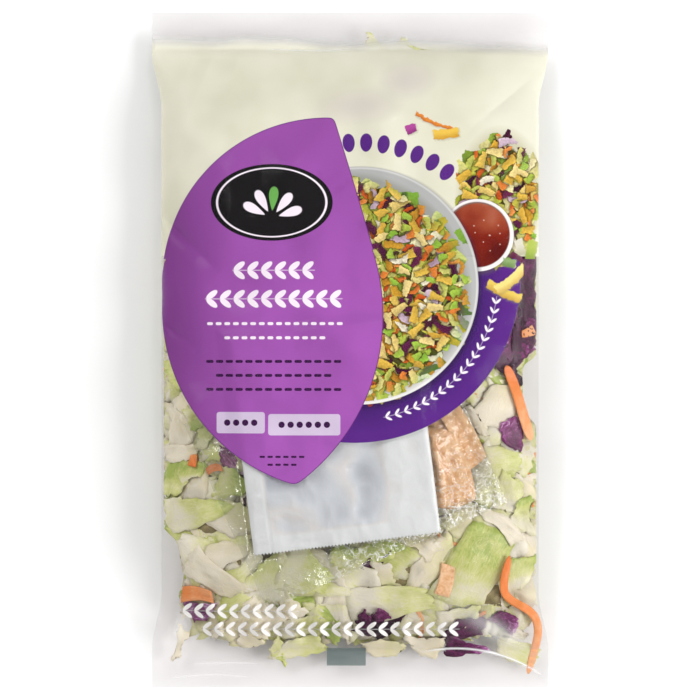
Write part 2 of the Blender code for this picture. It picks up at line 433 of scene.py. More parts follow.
def sachet_depth(x, y):
    """How far below the film whatever lies under the sachet must stay, with a ramp outside its edge."""
    u, v = in_packet(x, y, SACHET_CENTRE, SACHET_TURN)
    beside = smoothstep(-0.0035, 0.0, within(u, v, SACHET_WIDTH, SACHET_LENGTH))
    thickness = SACHET_SKIN + SACHET_FILL * sachet_fill(u, v)
    return beside * (SACHET_GAP + sachet_relief(u, v) + thickness + 0.0005)


columns, rows = np.arange(SACHET_TEETH * 2 + 1), np.linspace(0.0, 1.0, SACHET_ROWS + 1)
u, row = np.meshgrid((columns / (SACHET_TEETH * 2) - 0.5) * SACHET_WIDTH, rows)
tooth = TOOTH_DEPTH * (columns % 2) * np.clip(1.0 - 40.0 * row, 0.0, 1.0)
v = (row - 0.5) * SACHET_LENGTH + tooth
x, y = out_of_packet(u, v, SACHET_CENTRE, SACHET_TURN)
upper = film_height(x, y) - SACHET_GAP - sachet_relief(u, v)
lower = upper - SACHET_SKIN - SACHET_FILL * sachet_fill(u, v)

# White satin laminate: a printed white under a dull clear layer, so it shines softly and shows every kink.
laminate, add = material_of("white_satin_laminate")
place = add("TexCoord", out=3)
colour = add("ValToRGB", add("Attribute", attribute_name="tone", out=2), stops=LAMINATE_TONES)
kinks = add("TexNoise", Vector=place, Scale=210.0, Detail=3.0, Roughness=0.6)
relief = add("Bump", 0.45, 0.0008, 0.1, kinks)
finish_with(add, add("BsdfPrincipled", Base_Color=colour, Roughness=0.30, Normal=relief))
upper, lower = (np.stack([x, y, height], axis=-1)[None] for height in (upper, lower))
points, quads, _ = closed_pieces(upper, lower)
sachet = new_piece("dressing_sachet", points, quads, laminate, "sachet")
# The sachet's tone is painted light and shade: painted shade in a band along its fold, painted light past the
# fold, and painted light and shade along the facets' ridges. The seals keep their own white.
folded = np.exp(-(((u - SACHET_FOLD + 0.003 - 0.04 * v) / 0.0070) ** 2))
lit_past_fold = smoothstep(0.022, 0.027, u - 0.04 * v)
facet_light_and_shade = 0.34 * wide_facets(u, v) + 0.14 * ridges(u, v, 0.010, 62)
filled = smoothstep(0.0, 0.35, sachet_fill(u, v))
tone = 1.0 + filled * (-0.56 - 0.38 * folded + 0.32 * lit_past_fold + facet_light_and_shade)
add_values(sachet, tone=np.stack([tone] * 2))

# The topping pouch. A clear crinkled film pouch with fried wonton strips in it, sealed at its foot. It lies
# askew under the sachet, and shows beside and below it.
POUCH_WIDTH, POUCH_LENGTH = 0.134, 0.104
POUCH_CENTRE, POUCH_TURN = (-0.0023, -0.0577), np.radians(24.2)
POUCH_GAP, POUCH_FILL, POUCH_SEAL, POUCH_CRINKLE = 0.0009, 0.0085, 0.010, 0.0016
POUCH_COLUMNS, POUCH_ROWS, CRUMPLE_REACH, POUCH_EMPTY_END = 200, 170, 0.024, 0.042


def pouch_fill(u, v):
    """How full the pouch is, from 0 at its seals to 1: a superellipse each way between the seals. Its left
    end is empty.
    """
    across = (u - POUCH_EMPTY_END / 2) / (POUCH_WIDTH / 2 - POUCH_EMPTY_END / 2 - 0.002)
    across = np.clip(1.0 - np.abs(across) ** 6.0, 0.0, 1.0) ** 0.6
    return across * np.clip(1.0 - np.abs(v / (POUCH_LENGTH / 2 - POUCH_SEAL)) ** 3.0, 0.0, 1.0) ** 0.6


def pouch_slack(u):
    """How slack the pouch's film is: least at its flat left end, along an S curve."""
    return 0.35 + 0.65 * smoothstep(-0.045, 0.0, u)


def pouch_crinkle(u, v):
    """Sharp creases of three sizes, closest at the seals, as depths below the pouch's highest level."""
    seal = np.exp(-np.clip(within(u, v, POUCH_WIDTH, POUCH_LENGTH), 0.0, None) / 0.016)
    creases = 0.5 * (1.0 - ridges(u + 0.4 * v, v * 1.3, 0.013, 71)) + 0.25 * (1.0 - ridges(u, v, 0.006, 72))
    creases = creases * (0.4 + 0.6 * seal) + 0.35 * seal * (1.0 - ridges(u * 1.3, v, 0.0031, 73))
    return POUCH_CRINKLE * pouch_slack(u) * creases


def pouch_top(x, y):
    u, v = in_packet(x, y, POUCH_CENTRE, POUCH_TURN)
    return film_height(x, y) - sachet_depth(x, y) - POUCH_GAP - pouch_crinkle(u, v)


def pouch_bottom(x, y):
    u, v = in_packet(x, y, POUCH_CENTRE, POUCH_TURN)
    return pouch_top(x, y) - 0.0003 - POUCH_FILL * pouch_fill(u, v)


def packet_depth(x, y):
    """How far below the film the salad must stay: below the sachet, and below the pouch."""
    beside = within(*in_packet(x, y, POUCH_CENTRE, POUCH_TURN), POUCH_WIDTH, POUCH_LENGTH)
    under_pouch = film_height(x, y) - pouch_bottom(x, y) + 0.0006
    return np.maximum(sachet_depth(x, y), smoothstep(-0.004, 0.0, beside) * under_pouch)


GLINT_LINE_BEND = 0.006  # how far a noise bends the painted glint lines of crumpled film
GLINT_LINES = ((120.0, 0.040), (330.0, 0.060))  # how many to the metre, and the share that is painted glint
FOLD_FADE = 9.0  # millimetres over which a fold's painted highlight fades in and out


def clear_film(name, tint, haze, roughness, crinkle_mm, crinkle_depth, bounce, crumpled=False, folds=()):
    """Clear plastic film: light passes straight through, a little is scattered by slight haze, and the share
    that it mirrors rises from a few per cent to all of it with the slant, as the fifth power. Where it is
    crumpled, short broken white lines along its sharpest creases are painted glints. Each of the folds is an
    arc of painted highlight, with some of a creased film's own whitening: centre, radius, the x that it runs
    between, half width and strength, all in millimetres.
    """
    material, add = material_of(name)
    place = add("TexCoord", out=3)
    crinkle = add("TexNoise", Vector=place, Scale=1000.0 / crinkle_mm, Detail=3.0, Roughness=0.6)
    crumple = add("Attribute", attribute_name="crumple", out=2) if crumpled else 0.0
    if crumpled:
        crinkle = add("Math", crinkle, add("MapRange", crumple, 0.0, 0.7, 0.20, 1.0), operation="MULTIPLY")
    relief = add("Bump", 1.0, crinkle_depth, 0.1, crinkle)
    slant = add("Math", add("LayerWeight", 0.5, relief, out=1), 5.0, operation="POWER")
    mirrored = add("Math", slant, 1.0 - bounce, bounce, operation="MULTIPLY_ADD")
    if crumpled:
        bent = add("TexNoise", Vector=place, Scale=130.0, Detail=2.0, Roughness=0.6, out=1)
        bent = add("VectorMath", bent, (GLINT_LINE_BEND,) * 3, operation="MULTIPLY")
        bent = add("VectorMath", bent, place, operation="ADD")
        broken = add("TexNoise", Vector=place, Scale=260.0, Detail=2.0, Roughness=0.6)
        broken = add("MapRange", broken, 0.42, 0.50, 0.0, 1.0)
        # Painted glints: white broken lines along the creases, laid into the haze where the film is crumpled.
        white = []
        for scale, width in GLINT_LINES:
            cells = add("TexVoronoi", Vector=bent, Scale=scale, feature="DISTANCE_TO_EDGE")
            white.append(add("MapRange", cells, 0.0, width, 1.0, 0.0))
        white = add("Math", add("Math", *white, operation="MAXIMUM"), broken, operation="MULTIPLY")
        haze = add("Math", add("Math", white, crumple, operation="MULTIPLY"), haze, operation="ADD")
    flat = add("VectorMath", place, (1000.0, 1000.0, 0.0), operation="MULTIPLY")
    # Painted highlight along each fold's arc.
    for centre, radius, low, high, half_width, strength in folds:
        away = add("VectorMath", flat, (*centre, 0.0), operation="DISTANCE", out=1)
        away = add("Math", add("Math", away, radius, operation="SUBTRACT"), operation="ABSOLUTE")
        line = add("MapRange", away, 0.0, half_width, strength, 0.0)
        along = add("SeparateXYZ", flat)
        starts = add("MapRange", along, low, low + FOLD_FADE, 0.0, 1.0)
        ends = add("MapRange", along, high - FOLD_FADE, high, 1.0, 0.0)
        line = add("Math", add("Math", line, starts, operation="MULTIPLY"), ends, operation="MULTIPLY")
        haze = add("Math", haze, line, operation="MAXIMUM")
    # The front film's patches of painted light and glare.
    if folds:
        haze = add("Math", add("Attribute", attribute_name="milky", out=2), haze, operation="ADD")
    through = add("MixShader", haze, add("BsdfTransparent", tint), add("BsdfDiffuse", "#fbfbfb"))
    gloss = add("BsdfGlossy", "#ffffff", roughness, Normal=relief)
    finish_with(add, add("MixShader", mirrored, through, gloss))
    return material


u, v = np.meshgrid(np.linspace(-0.5, 0.5, POUCH_COLUMNS + 1), np.linspace(-0.5, 0.5, POUCH_ROWS + 1))
u, v = u * POUCH_WIDTH, v * POUCH_LENGTH
x, y = out_of_packet(u, v, POUCH_CENTRE, POUCH_TURN)
upper, lower = (np.stack([x, y, height(x, y)], axis=-1)[None] for height in (pouch_top, pouch_bottom))
points, quads, _ = closed_pieces(upper, lower)
pouch_film = clear_film("crinkled_clear_film", "#f7f8f4", 0.010, 0.06, 2.2, 0.0006, 0.035, crumpled=True)
pouch = new_piece("topping_pouch", points, quads, pouch_film, "film", np.ones(len(quads), bool))
slack = pouch_slack(u)
crumple = slack * np.exp(-np.clip(v + POUCH_LENGTH / 2, 0.0, None) / (CRUMPLE_REACH * slack))
add_values(pouch, crumple=np.stack([crumple, crumple * 0.3]))

# The chopped salad. Iceberg lettuce and green cabbage cut into pieces of about an inch, with a little red
# cabbage and shredded carrot. Each piece is a thin wavy solid that lies on the pieces under it and is
# pressed flatter where it meets the film. A plain core holds the middle, where nothing shows.
PILE_PITCH = 0.001  # the spacing of the height map that the pieces are piled on
FILM_CLEARANCE, END_CLEARANCE, END_REACH = 0.0011, 0.0016, 0.014
PRESSED_RELIEF = 0.72  # the share of its waves that a piece keeps where it is pressed against the film
LAYER_DEPTH = 0.0045  # how far below the film the first pieces stop
SHADE_DEPTH = 0.0075  # how far below the film a leaf's painted shade reaches its darkest
TROUGH_SHADE = 0.30  # how much painted shade darkens the bottom of a leaf's own wave beside its crest
LEAF_GRID = 10  # points along and across a piece
END_LIMIT, END_SPREAD = 0.1522, 0.006  # no piece of the pile reaches into the end seals
LEFT_SLACK, RIGHT_SLACK = 0.0085, 0.0060  # how far the salad stays off the film's sides at two places
CORE_HALF_WIDTH, CORE_HALF_LENGTH, CORE_ROUND = 0.087, 0.140, 0.012
CORE_RISE, CORE_DROP = 0.70, 0.62
EMPTY_CORNER, EMPTY_CORNER_SLOPE = (-0.0964, -0.1135), 0.97
PIECE_KINDS = {  # share of its pile, length, width, thickness, waviness, least and most tone
    "lettuce": (0.52, 0.024, 0.016, 0.00050, 0.0034, 0.15, 0.95),
    "green_cabbage": (0.36, 0.023, 0.014, 0.00085, 0.0032, 0.0, 0.60),
    "red_cabbage": (0.05, 0.020, 0.008, 0.00080, 0.0020, 0.0, 1.0),
    "carrot": (0.07, 0.024, 0.0026, 0.00150, 0.0024, 0.0, 1.0),
    "wonton": (1.0, 0.038, 0.0130, 0.00110, 0.0020, 0.0, 1.0),
}
FRONT_PIECES, BACK_PIECES = 660, 180
HAND_LAID = (  # kind, middle, length, width, turn in degrees, tone; the first lie lowest
    ("lettuce", (-0.0431, -0.1167), 0.024, 0.019, 70, 0.42),
    ("lettuce", (-0.0206, -0.1126), 0.028, 0.021, -20, 0.55),
    ("lettuce", (0.0214, -0.1280), 0.044, 0.016, 4, 0.40),
    ("lettuce", (-0.0237, -0.1460), 0.022, 0.012, 12, 0.50),
    ("lettuce", (-0.0027, -0.1050), 0.014, 0.011, 40, 0.80),
    ("green_cabbage", (-0.0600, -0.0850), 0.022, 0.019, 20, 0.40),
    ("lettuce", (-0.0595, -0.0676), 0.017, 0.012, -15, 0.85),
    ("lettuce", (-0.0908, -0.0645), 0.020, 0.011, 82, 0.95),
    ("lettuce", (-0.0815, -0.0625), 0.013, 0.010, 60, 0.80),
    ("lettuce", (-0.0805, -0.0824), 0.026, 0.016, 18, 0.55),
    ("green_cabbage", (-0.0657, -0.1055), 0.017, 0.015, 60, 0.02),
    ("green_cabbage", (-0.0700, -0.1160), 0.032, 0.014, -38, 0.05),
    ("green_cabbage", (-0.0850, -0.0290), 0.018, 0.011, 50, 0.25),
    ("green_cabbage", (-0.0882, -0.0410), 0.017, 0.013, 80, 0.15),
    ("green_cabbage", (-0.0860, -0.0525), 0.016, 0.009, 10, 0.05),
    ("lettuce", (-0.0745, -0.0440), 0.014, 0.008, 60, 0.60),
    ("lettuce", (-0.0800, -0.0350), 0.013, 0.007, -40, 0.80),
    ("lettuce", (0.0690, -0.0690), 0.026, 0.018, -55, 0.35),
    ("lettuce", (0.0735, -0.0585), 0.026, 0.017, 8, 0.42),
    ("lettuce", (0.0808, -0.0730), 0.019, 0.013, 75, 0.42),
    ("lettuce", (0.0900, -0.0840), 0.016, 0.011, 85, 0.60),
    ("lettuce", (0.0890, -0.1150), 0.018, 0.016, 80, 0.62),
    ("lettuce", (0.0640, -0.1100), 0.042, 0.026, 62, 0.74),
    ("lettuce", (0.0560, -0.1390), 0.022, 0.012, 10, 0.35),
    ("green_cabbage", (0.0767, -0.0886), 0.026, 0.0065, -38, 0.0),
    ("green_cabbage", (0.0750, -0.0290), 0.024, 0.019, 60, 0.05),
    ("green_cabbage", (0.0640, -0.0360), 0.016, 0.006, -60, 0.10),
    ("red_cabbage", (0.0900, 0.0150), 0.024, 0.016, 95, 0.30),
    ("red_cabbage", (0.0890, 0.0310), 0.032, 0.018, 88, 0.22),
    ("red_cabbage", (0.0870, 0.0060), 0.022, 0.017, 70, 0.28),
    ("red_cabbage", (0.0930, 0.0210), 0.022, 0.010, 92, 0.20),
    ("red_cabbage", (0.0845, -0.0030), 0.018, 0.015, 60, 0.45),
    ("red_cabbage", (0.0870, 0.0400), 0.020, 0.013, 80, 0.28),
    ("red_cabbage", (0.0915, 0.0290), 0.036, 0.014, 90, 0.25),
    ("red_cabbage", (0.0920, 0.0060), 0.026, 0.012, 85, 0.30),
    ("red_cabbage", (0.0895, -0.0150), 0.013, 0.006, 105, 0.15),
    ("red_cabbage", (0.0838, -0.0427), 0.015, 0.012, 95, 0.62),
    ("red_cabbage", (0.0577, -0.1490), 0.022, 0.009, 12, 0.35),
    ("red_cabbage", (0.0792, -0.1383), 0.013, 0.008, -20, 0.60),
    ("red_cabbage", (0.0142, -0.1367), 0.009, 0.006, 35, 0.30),
    ("red_cabbage", (0.0076, -0.1485), 0.009, 0.007, 70, 0.35),
    ("red_cabbage", (-0.0759, -0.1336), 0.014, 0.008, 10, 0.80),
    ("carrot", (-0.0780, -0.1244), 0.016, 0.0070, -4, 0.6),
    ("carrot", (-0.0800, -0.0563), 0.006, 0.0040, 80, 0.3),
    ("carrot", (-0.0693, -0.0599), 0.008, 0.0038, 15, 0.4),
    ("carrot", (0.0910, 0.0090), 0.007, 0.0045, 20, 0.8),
    ("wonton", (0.0490, -0.1175), 0.016, 0.0075, 78, 0.1),
)
KEPT_DEPTH, HAND_LAID_DEPTH, HOLLOW_DEPTH = 0.0024, 0.0016, 0.0034  # below the film
HOLLOWS = (  # middle and radius of the dark hollows that stay open between the pieces
    (-0.0865, -0.0705, 0.0030),
    (-0.0640, -0.0650, 0.0045),
    (-0.0575, -0.0735, 0.0030),
    (-0.0715, -0.0905, 0.0040),
    (-0.0560, -0.1065, 0.0040),
    (-0.0790, -0.0530, 0.0035),
    (0.0715, -0.0245, 0.0040),
    (0.0830, -0.1290, 0.0050),
    (0.0320, -0.1120, 0.0040),
    (0.0080, -0.1200, 0.0040),
)
CARROT_SHREDS = (  # the routes of two long shreds against the film, and their widths
    (((0.0795, -0.0080), (0.0845, -0.0200), (0.0885, -0.0340), (0.0925, -0.0460)), 0.0052),
    (
        ((0.0813, -0.1050), (0.0778, -0.1200), (0.0800, -0.1270), (0.0940, -0.1340), (0.0968, -0.1430),
         (0.0948, -0.1530), (0.0912, -0.1660)),
        0.0042,
    ),
)


def empty_corner(x, y):
    """How far a place is from the empty lower left corner of the bag, across a slanting straight edge."""
    corner_x, corner_y = EMPTY_CORNER
    slanting = (y - corner_y) + EMPTY_CORNER_SLOPE * (x - corner_x)
    return slanting / np.hypot(1.0, EMPTY_CORNER_SLOPE)


def side_slack(x, y):
    """How much further the salad stays off the sides: along the lower left, and along a stretch at the
    right's middle, each with S-shaped ends and an uneven edge.
    """
    uneven = 1.0 + 0.22 * soft_noise(x * 0.0, y, 0.009, 54)
    lower_left = LEFT_SLACK * smoothstep(0.090, 0.100, -y) * (x < 0.0)
    right = RIGHT_SLACK * smoothstep(0.002, 0.009, -y) * smoothstep(-0.040, -0.030, y) * (x > 0.0)
    return uneven * (lower_left + right)


def salad_limit(x, y):
    """How far inside the salad's edge a place is, in metres: the body less its empty lower left corner."""
    sides = 0.0936 + 0.0016 * soft_noise(x * 0.0, y, 0.012, 51) - np.abs(x)
    sides = sides - side_slack(x, y)
    foot_edge = y + 0.1500 + 0.0045 * soft_noise(x, y * 0.0, 0.016, 52)
    head_edge = 0.1490 + 0.0030 * soft_noise(x, y * 0.0, 0.014, 53) - y
    return np.minimum(np.minimum(sides, foot_edge), np.minimum(head_edge, empty_corner(x, y)))


def core_height(x, y, film, share):
    """The core's skin: a share of the way from the bag's edge height to one film, closing as an S curve at
    the core's outline.
    """
    inside = np.minimum(CORE_HALF_WIDTH - np.abs(x), CORE_HALF_LENGTH - np.abs(y))
    inside = np.minimum(inside, empty_corner(x, y) - CORE_ROUND)
    edge = edge_height(x, y)
    return edge + (film(x, y) - edge) * share * smoothstep(0.0, CORE_ROUND, inside)


class Pile:
    """A height map that pieces are laid on, measured outwards: up for the front film, down for the back."""

    def __init__(self, outward, floor, ceiling, limit):
        self.outward = outward
        self.x = np.arange(-SEAL_WIDTH / 2, SEAL_WIDTH / 2 + PILE_PITCH, PILE_PITCH)
        self.y = np.arange(-BAG_LENGTH / 2, BAG_LENGTH / 2 + PILE_PITCH, PILE_PITCH)
        x, y = np.meshgrid(self.x, self.y)
        self.ceiling, self.limit = ceiling(x, y), limit(x, y)
        self.cover = self.ceiling.copy()
        self.floor = np.minimum(floor(x, y), self.ceiling - 0.0005)
        self.height = self.floor.copy()

    def cell(self, x, y):
        column = np.clip(((x - self.x[0]) / PILE_PITCH + 0.5).astype(int), 0, len(self.x) - 1)
        row = np.clip(((y - self.y[0]) / PILE_PITCH + 0.5).astype(int), 0, len(self.y) - 1)
        return row, column

    def roomiest(self, rng, weight, tries=26):
        """The place with the most room under the film among some random ones within the salad's edge."""
        x = rng.uniform(self.x[0], self.x[-1], tries)
        y = rng.uniform(self.y[0], self.y[-1], tries)
        room = np.zeros(tries)
        for step_x, step_y in ((0, 0), (0.005, 0), (-0.005, 0), (0, 0.005), (0, -0.005)):
            cell = self.cell(x + step_x, y + step_y)
            room += (self.ceiling[cell] - self.height[cell]) / 5
        inside = self.limit[self.cell(x, y)] > 0.002
        room = np.where(inside, room * weight(x, y), -1.0)
        best = np.argmax(room)
        return x[best], y[best], room[best]

    def lay(self, x, y, waves, thickness, below, stiffness=4):
        """Rests a piece on the pile: its underside is the pile's height, smoothed so that it spans the
        gaps, plus its own waves. Its top stays below the film, less a share of the waves' depth, and above
        whatever already lies there.
        """
        cell = self.cell(x, y)
        under = self.height[cell] + 0.0002
        rest = under.copy()
        for _ in range(stiffness):
            spread = np.pad(rest, 1, mode="edge")
            mean = (spread[:-2, 1:-1] + spread[2:, 1:-1] + spread[1:-1, :-2] + spread[1:-1, 2:]) / 4
            rest = np.maximum(under, mean)
        room = self.ceiling[cell] - self.floor[cell]
        pressed = np.minimum(below + PRESSED_RELIEF * (waves.max() - waves), 0.6 * room)
        top = np.minimum(rest + waves + thickness, self.ceiling[cell] - pressed)
        crests = np.max([self.height[self.cell(x + i, y + j)] for i, j in AROUND], axis=0) + 0.0002
        top = np.maximum(top, np.minimum(crests, self.ceiling[cell] - below))
        np.maximum.at(self.height, self.cell(FINE @ x @ FINE.T, FINE @ y @ FINE.T), FINE @ top @ FINE.T)
        return top


AROUND = [(i * PILE_PITCH, j * PILE_PITCH) for i in (-1, 0, 1) for j in (-1, 0, 1)]
fine_steps = np.linspace(0, LEAF_GRID - 1, LEAF_GRID * 4)
FINE = np.clip(1.0 - np.abs(fine_steps[:, None] - np.arange(LEAF_GRID)[None, :]), 0.0, 1.0)


def cut_outline(rng, length, width, leafy):
    """A piece flat on the board: a square pulled part of the way to a round form, then skewed, tapered and
    sheared at random, with a slightly swelling and ragged margin if it is leafy.
    """
    u, v = np.meshgrid(np.linspace(-1, 1, LEAF_GRID), np.linspace(-1, 1, LEAF_GRID))
    roundness = rng.uniform(0.0, 0.30) if leafy else 0.10
    round_u = u + (1.25 * u * np.sqrt(1 - v**2 / 2) - u) * roundness
    round_v = v + (1.25 * v * np.sqrt(1 - u**2 / 2) - v) * roundness
    skew, taper, shear = rng.uniform(-0.65, 0.65, 3) * (1.0 if leafy else 0.35)
    x = round_u * length / 2 * (1 + taper * round_v * 0.6) + shear * round_v * width / 2
    y = round_v * width / 2 * (1 + skew * round_u)
    if leafy:
        margin = np.maximum(np.abs(u), np.abs(v)) ** 6
        ragged = rng.uniform(-1, 1, (2, LEAF_GRID, LEAF_GRID)) * 0.00085 * margin
        swell = 0.0010 * margin * np.sin(np.arctan2(v, u) * rng.randint(2, 5) + rng.uniform(0, 6))
        x, y = x + ragged[0] + swell * u, y + ragged[1] + swell * v
    return u, v, x, y


def leaf_waves(rng, u, v, waviness):
    """The piece's own form: a cup, a twist, one straight fold at a random slant, and two crossing sine
    waves that grow towards its margin.
    """
    cup_u, cup_v, twist = rng.uniform(-0.5, 1.0), rng.uniform(-0.5, 1.0), rng.uniform(-0.6, 0.6)
    slant, place = rng.uniform(0.0, np.pi), rng.uniform(-0.4, 0.4)
    fold = rng.uniform(-1.1, 1.1) * np.sqrt((u * np.cos(slant) + v * np.sin(slant) - place) ** 2 + 0.004)
    waves = 0.40 * np.sin(rng.uniform(2.5, 5.0) * u + rng.uniform(0, 6)) * (0.3 + v**2)
    waves = waves + 0.28 * np.sin(rng.uniform(3.0, 6.5) * v + rng.uniform(0, 6)) * (0.3 + u**2)
    form = cup_u * u**2 + cup_v * v**2 + twist * u * v + fold + waves
    return waviness * (form - form.min()) * rng.uniform(0.45, 1.0)


pieces_made = {kind: [] for kind in PIECE_KINDS}
NEIGHBOUR_CELLS, NEIGHBOUR_STEP, NEIGHBOUR_SHADE = 3, 0.0025, 0.50


def shade_beside_higher(pile):
    """Paints a shadow on the points that lie beside higher pieces, by how far the pile's height, averaged
    over a square of cells, stands above the point: one step is the whole of the painted shade.
    """
    rows, columns = pile.height.shape
    spread = np.pad(pile.height, NEIGHBOUR_CELLS, mode="edge")
    window = [(i, j) for i in range(2 * NEIGHBOUR_CELLS + 1) for j in range(2 * NEIGHBOUR_CELLS + 1)]
    mean = sum(spread[i : i + rows, j : j + columns] for i, j in window) / len(window)
    for made in pieces_made.values():
        for x, y, top, _, _, shade, _ in made:
            under = np.clip((mean[pile.cell(x, y)] - top) / NEIGHBOUR_STEP, 0.0, 1.0)
            shade *= 1.0 - NEIGHBOUR_SHADE * under


def lay_piece(pile, rng, kind, middle, length, width, turn, tone, below):
    """Cuts one piece, turns it, moves it off the seals and the sides, rests it on the pile, and notes its
    grids, thickness, tone and painted shade, and each point's place on the flat piece for its fibres.
    """
    _, _, _, thickness, waviness, _, _ = PIECE_KINDS[kind]
    leafy = kind not in ("carrot", "wonton")
    u, v, flat_x, flat_y = cut_outline(rng, length, width, leafy)
    flat_y = flat_y + rng.uniform(-1.0, 1.0) * (0.35 if kind == "carrot" else 0.12) * flat_x**2 / length * 2
    x, y = out_of_packet(flat_x, flat_y, middle, turn)
    end_limit = END_LIMIT - rng.uniform(0.0, END_SPREAD)
    y = y - np.sign(middle[1]) * max(np.abs(y).max() - end_limit, 0.0)
    reach = half_width(y) - 0.0012 - side_slack(x, y)
    x = x - 0.8 * np.sign(middle[0]) * max((np.abs(x) - reach).max(), 0.0)
    x = np.clip(x, -reach, reach)
    rib = np.exp(-(((u + 0.55) / 0.30) ** 2)) * leafy
    thick = thickness * (1.0 + (2.2 if kind == "green_cabbage" else 1.2) * rib * rng.uniform(0, 1))
    rib = rib * (kind != "red_cabbage")
    cell = pile.cell(x, y)
    thick = np.minimum(thick, 0.4 * np.clip(pile.ceiling[cell] - pile.floor[cell], 0.0002, None))
    size = min(1.0, (length + width) / 0.030)
    waves = leaf_waves(rng, u, v, waviness) * size
    top = pile.lay(x, y, waves, thick, below)
    tones = np.clip(tone + 0.28 * (u + 0.2) * rng.uniform(0.3, 1.2) - 0.35 * rib, 0.0, 1.0)
    # Painted shade: darker the deeper the point lies under the film and in the troughs of the piece's waves,
    # times a random share for each piece.
    sunk = np.clip((pile.cover[pile.cell(x, y)] - top) / SHADE_DEPTH, 0.0, 1.0)
    trough = 1.0 - (waves - waves.min()) / (np.ptp(waves) + 1e-6)
    shade = (1.0 - 0.85 * sunk) * (1.0 - TROUGH_SHADE * trough) * rng.uniform(0.85, 1.0)
    fibre = np.stack([flat_x, flat_y, shade], axis=-1)
    pieces_made[kind].append((x, y, pile.outward * top, -pile.outward * thick, tones, shade, fibre))


def seen_through(x, y):
    """How much a gap matters: less under the print, where little shows."""
    in_ring = (np.hypot(x - 0.0024, y - 0.0374) < 0.083) | (np.hypot(x + 0.0115, y - 0.0337) < 0.083)
    return np.where(((y > 0.0465) | in_ring) & (np.abs(x) < 0.088), 0.45, 1.0)


def fill_pile(pile, rng, count, weight, kinds, depth):
    """Lays pieces one after another, each at the roomiest of some random places, and each nearer to the
    film than the last.
    """
    shares = np.array([PIECE_KINDS[kind][0] for kind in kinds])
    for number in range(count):
        x, y, room = pile.roomiest(rng, weight)
        if room < 0.0008:
            continue
        kind = kinds[rng.choice(len(kinds), p=shares / shares.sum())]
        _, length, width, _, _, least, most = PIECE_KINDS[kind]
        size = rng.uniform(0.60, 1.20)
        long_size, turn = length * size * rng.uniform(0.85, 1.15), rng.uniform(0, 2 * np.pi)
        below = depth * (1.0 - number / count)
        tone = rng.uniform(least, most)
        lay_piece(pile, rng, kind, (x, y), long_size, width * size, turn, tone, below)


def kept_free(x, y):
    """Room for the listed pieces: a soft disc round each, about two millimetres deep. The hollows between
    pieces are deeper discs.
    """
    kept = np.zeros_like(x)
    for _, middle, length, _, _, _ in HAND_LAID:
        away = np.hypot(x - middle[0], y - middle[1])
        kept = np.maximum(kept, KEPT_DEPTH * smoothstep(-length * 0.65, -length * 0.30, -away))
    for route, _ in CARROT_SHREDS:
        for place in route:
            away = np.hypot(x - place[0], y - place[1])
            kept = np.maximum(kept, KEPT_DEPTH * smoothstep(-0.010, -0.005, -away))
    for middle_x, middle_y, radius in HOLLOWS:
        away = np.hypot(x - middle_x, y - middle_y)
        kept = np.maximum(kept, HOLLOW_DEPTH * smoothstep(-radius * 1.6, -radius * 0.6, -away))
    return kept


def under_film(x, y):
    """The ceiling for the salad: the smooth front film less a clearance for its creases, wider at the
    ends, and less the packets.
    """
    from_seal = np.clip(BAG_LENGTH / 2 - SEAL_LENGTH - np.abs(y), 0.0, None)
    clearance = FILM_CLEARANCE + END_CLEARANCE * np.exp(-from_seal / END_REACH)
    return front_height(x, y) - clearance - packet_depth(x, y)


def front_floor(x, y):
    return np.maximum(core_height(x, y, front_height, CORE_RISE), back_height(x, y) + 0.001)


rng = np.random.RandomState(20)
CUT_KINDS = ("lettuce", "green_cabbage", "red_cabbage", "carrot")
front_pile = Pile(1.0, front_floor, under_film, salad_limit)
front_pile.ceiling = front_pile.cover - kept_free(*np.meshgrid(front_pile.x, front_pile.y))
front_pile.height = np.minimum(front_pile.height, front_pile.ceiling - 0.0005)
fill_pile(front_pile, rng, FRONT_PIECES, seen_through, CUT_KINDS, LAYER_DEPTH)
front_pile.ceiling = front_pile.cover
for number, (kind, middle, length, width, turn, tone) in enumerate(HAND_LAID):
    below = HAND_LAID_DEPTH * (1.0 - number / len(HAND_LAID))
    lay_piece(front_pile, rng, kind, middle, length, width, np.radians(turn), tone, below)
shade_beside_higher(front_pile)
# The painted shade given to every point of a scrap.
SCRAP_SHADE = 0.7
SEAL_SCRAPS = (  # kind, middle, length, width, turn in degrees, tone
    ("lettuce", (0.0124, 0.1574), 0.009, 0.0042, -30, 0.60),
    ("lettuce", (0.0325, 0.1552), 0.015, 0.0021, -27, 0.65),
    ("lettuce", (-0.0367, -0.1551), 0.013, 0.0050, -70, 0.70),
    ("lettuce", (-0.0257, -0.1522), 0.026, 0.0085, 8, 0.45),
    ("green_cabbage", (0.0178, -0.1529), 0.020, 0.0080, 5, 0.50),
    ("green_cabbage", (0.0378, -0.1516), 0.018, 0.0090, -15, 0.10),
    ("lettuce", (0.0854, -0.1545), 0.022, 0.0100, -25, 0.45),
    ("green_cabbage", (-0.0677, -0.1434), 0.009, 0.0050, 60, 0.0),
    ("green_cabbage", (-0.0520, -0.1490), 0.012, 0.0060, -30, 0.25),
    ("green_cabbage", (-0.0872, -0.1505), 0.016, 0.0040, 72, 0.0),
    ("red_cabbage", (0.0588, -0.1530), 0.020, 0.0070, -8, 0.55),
)


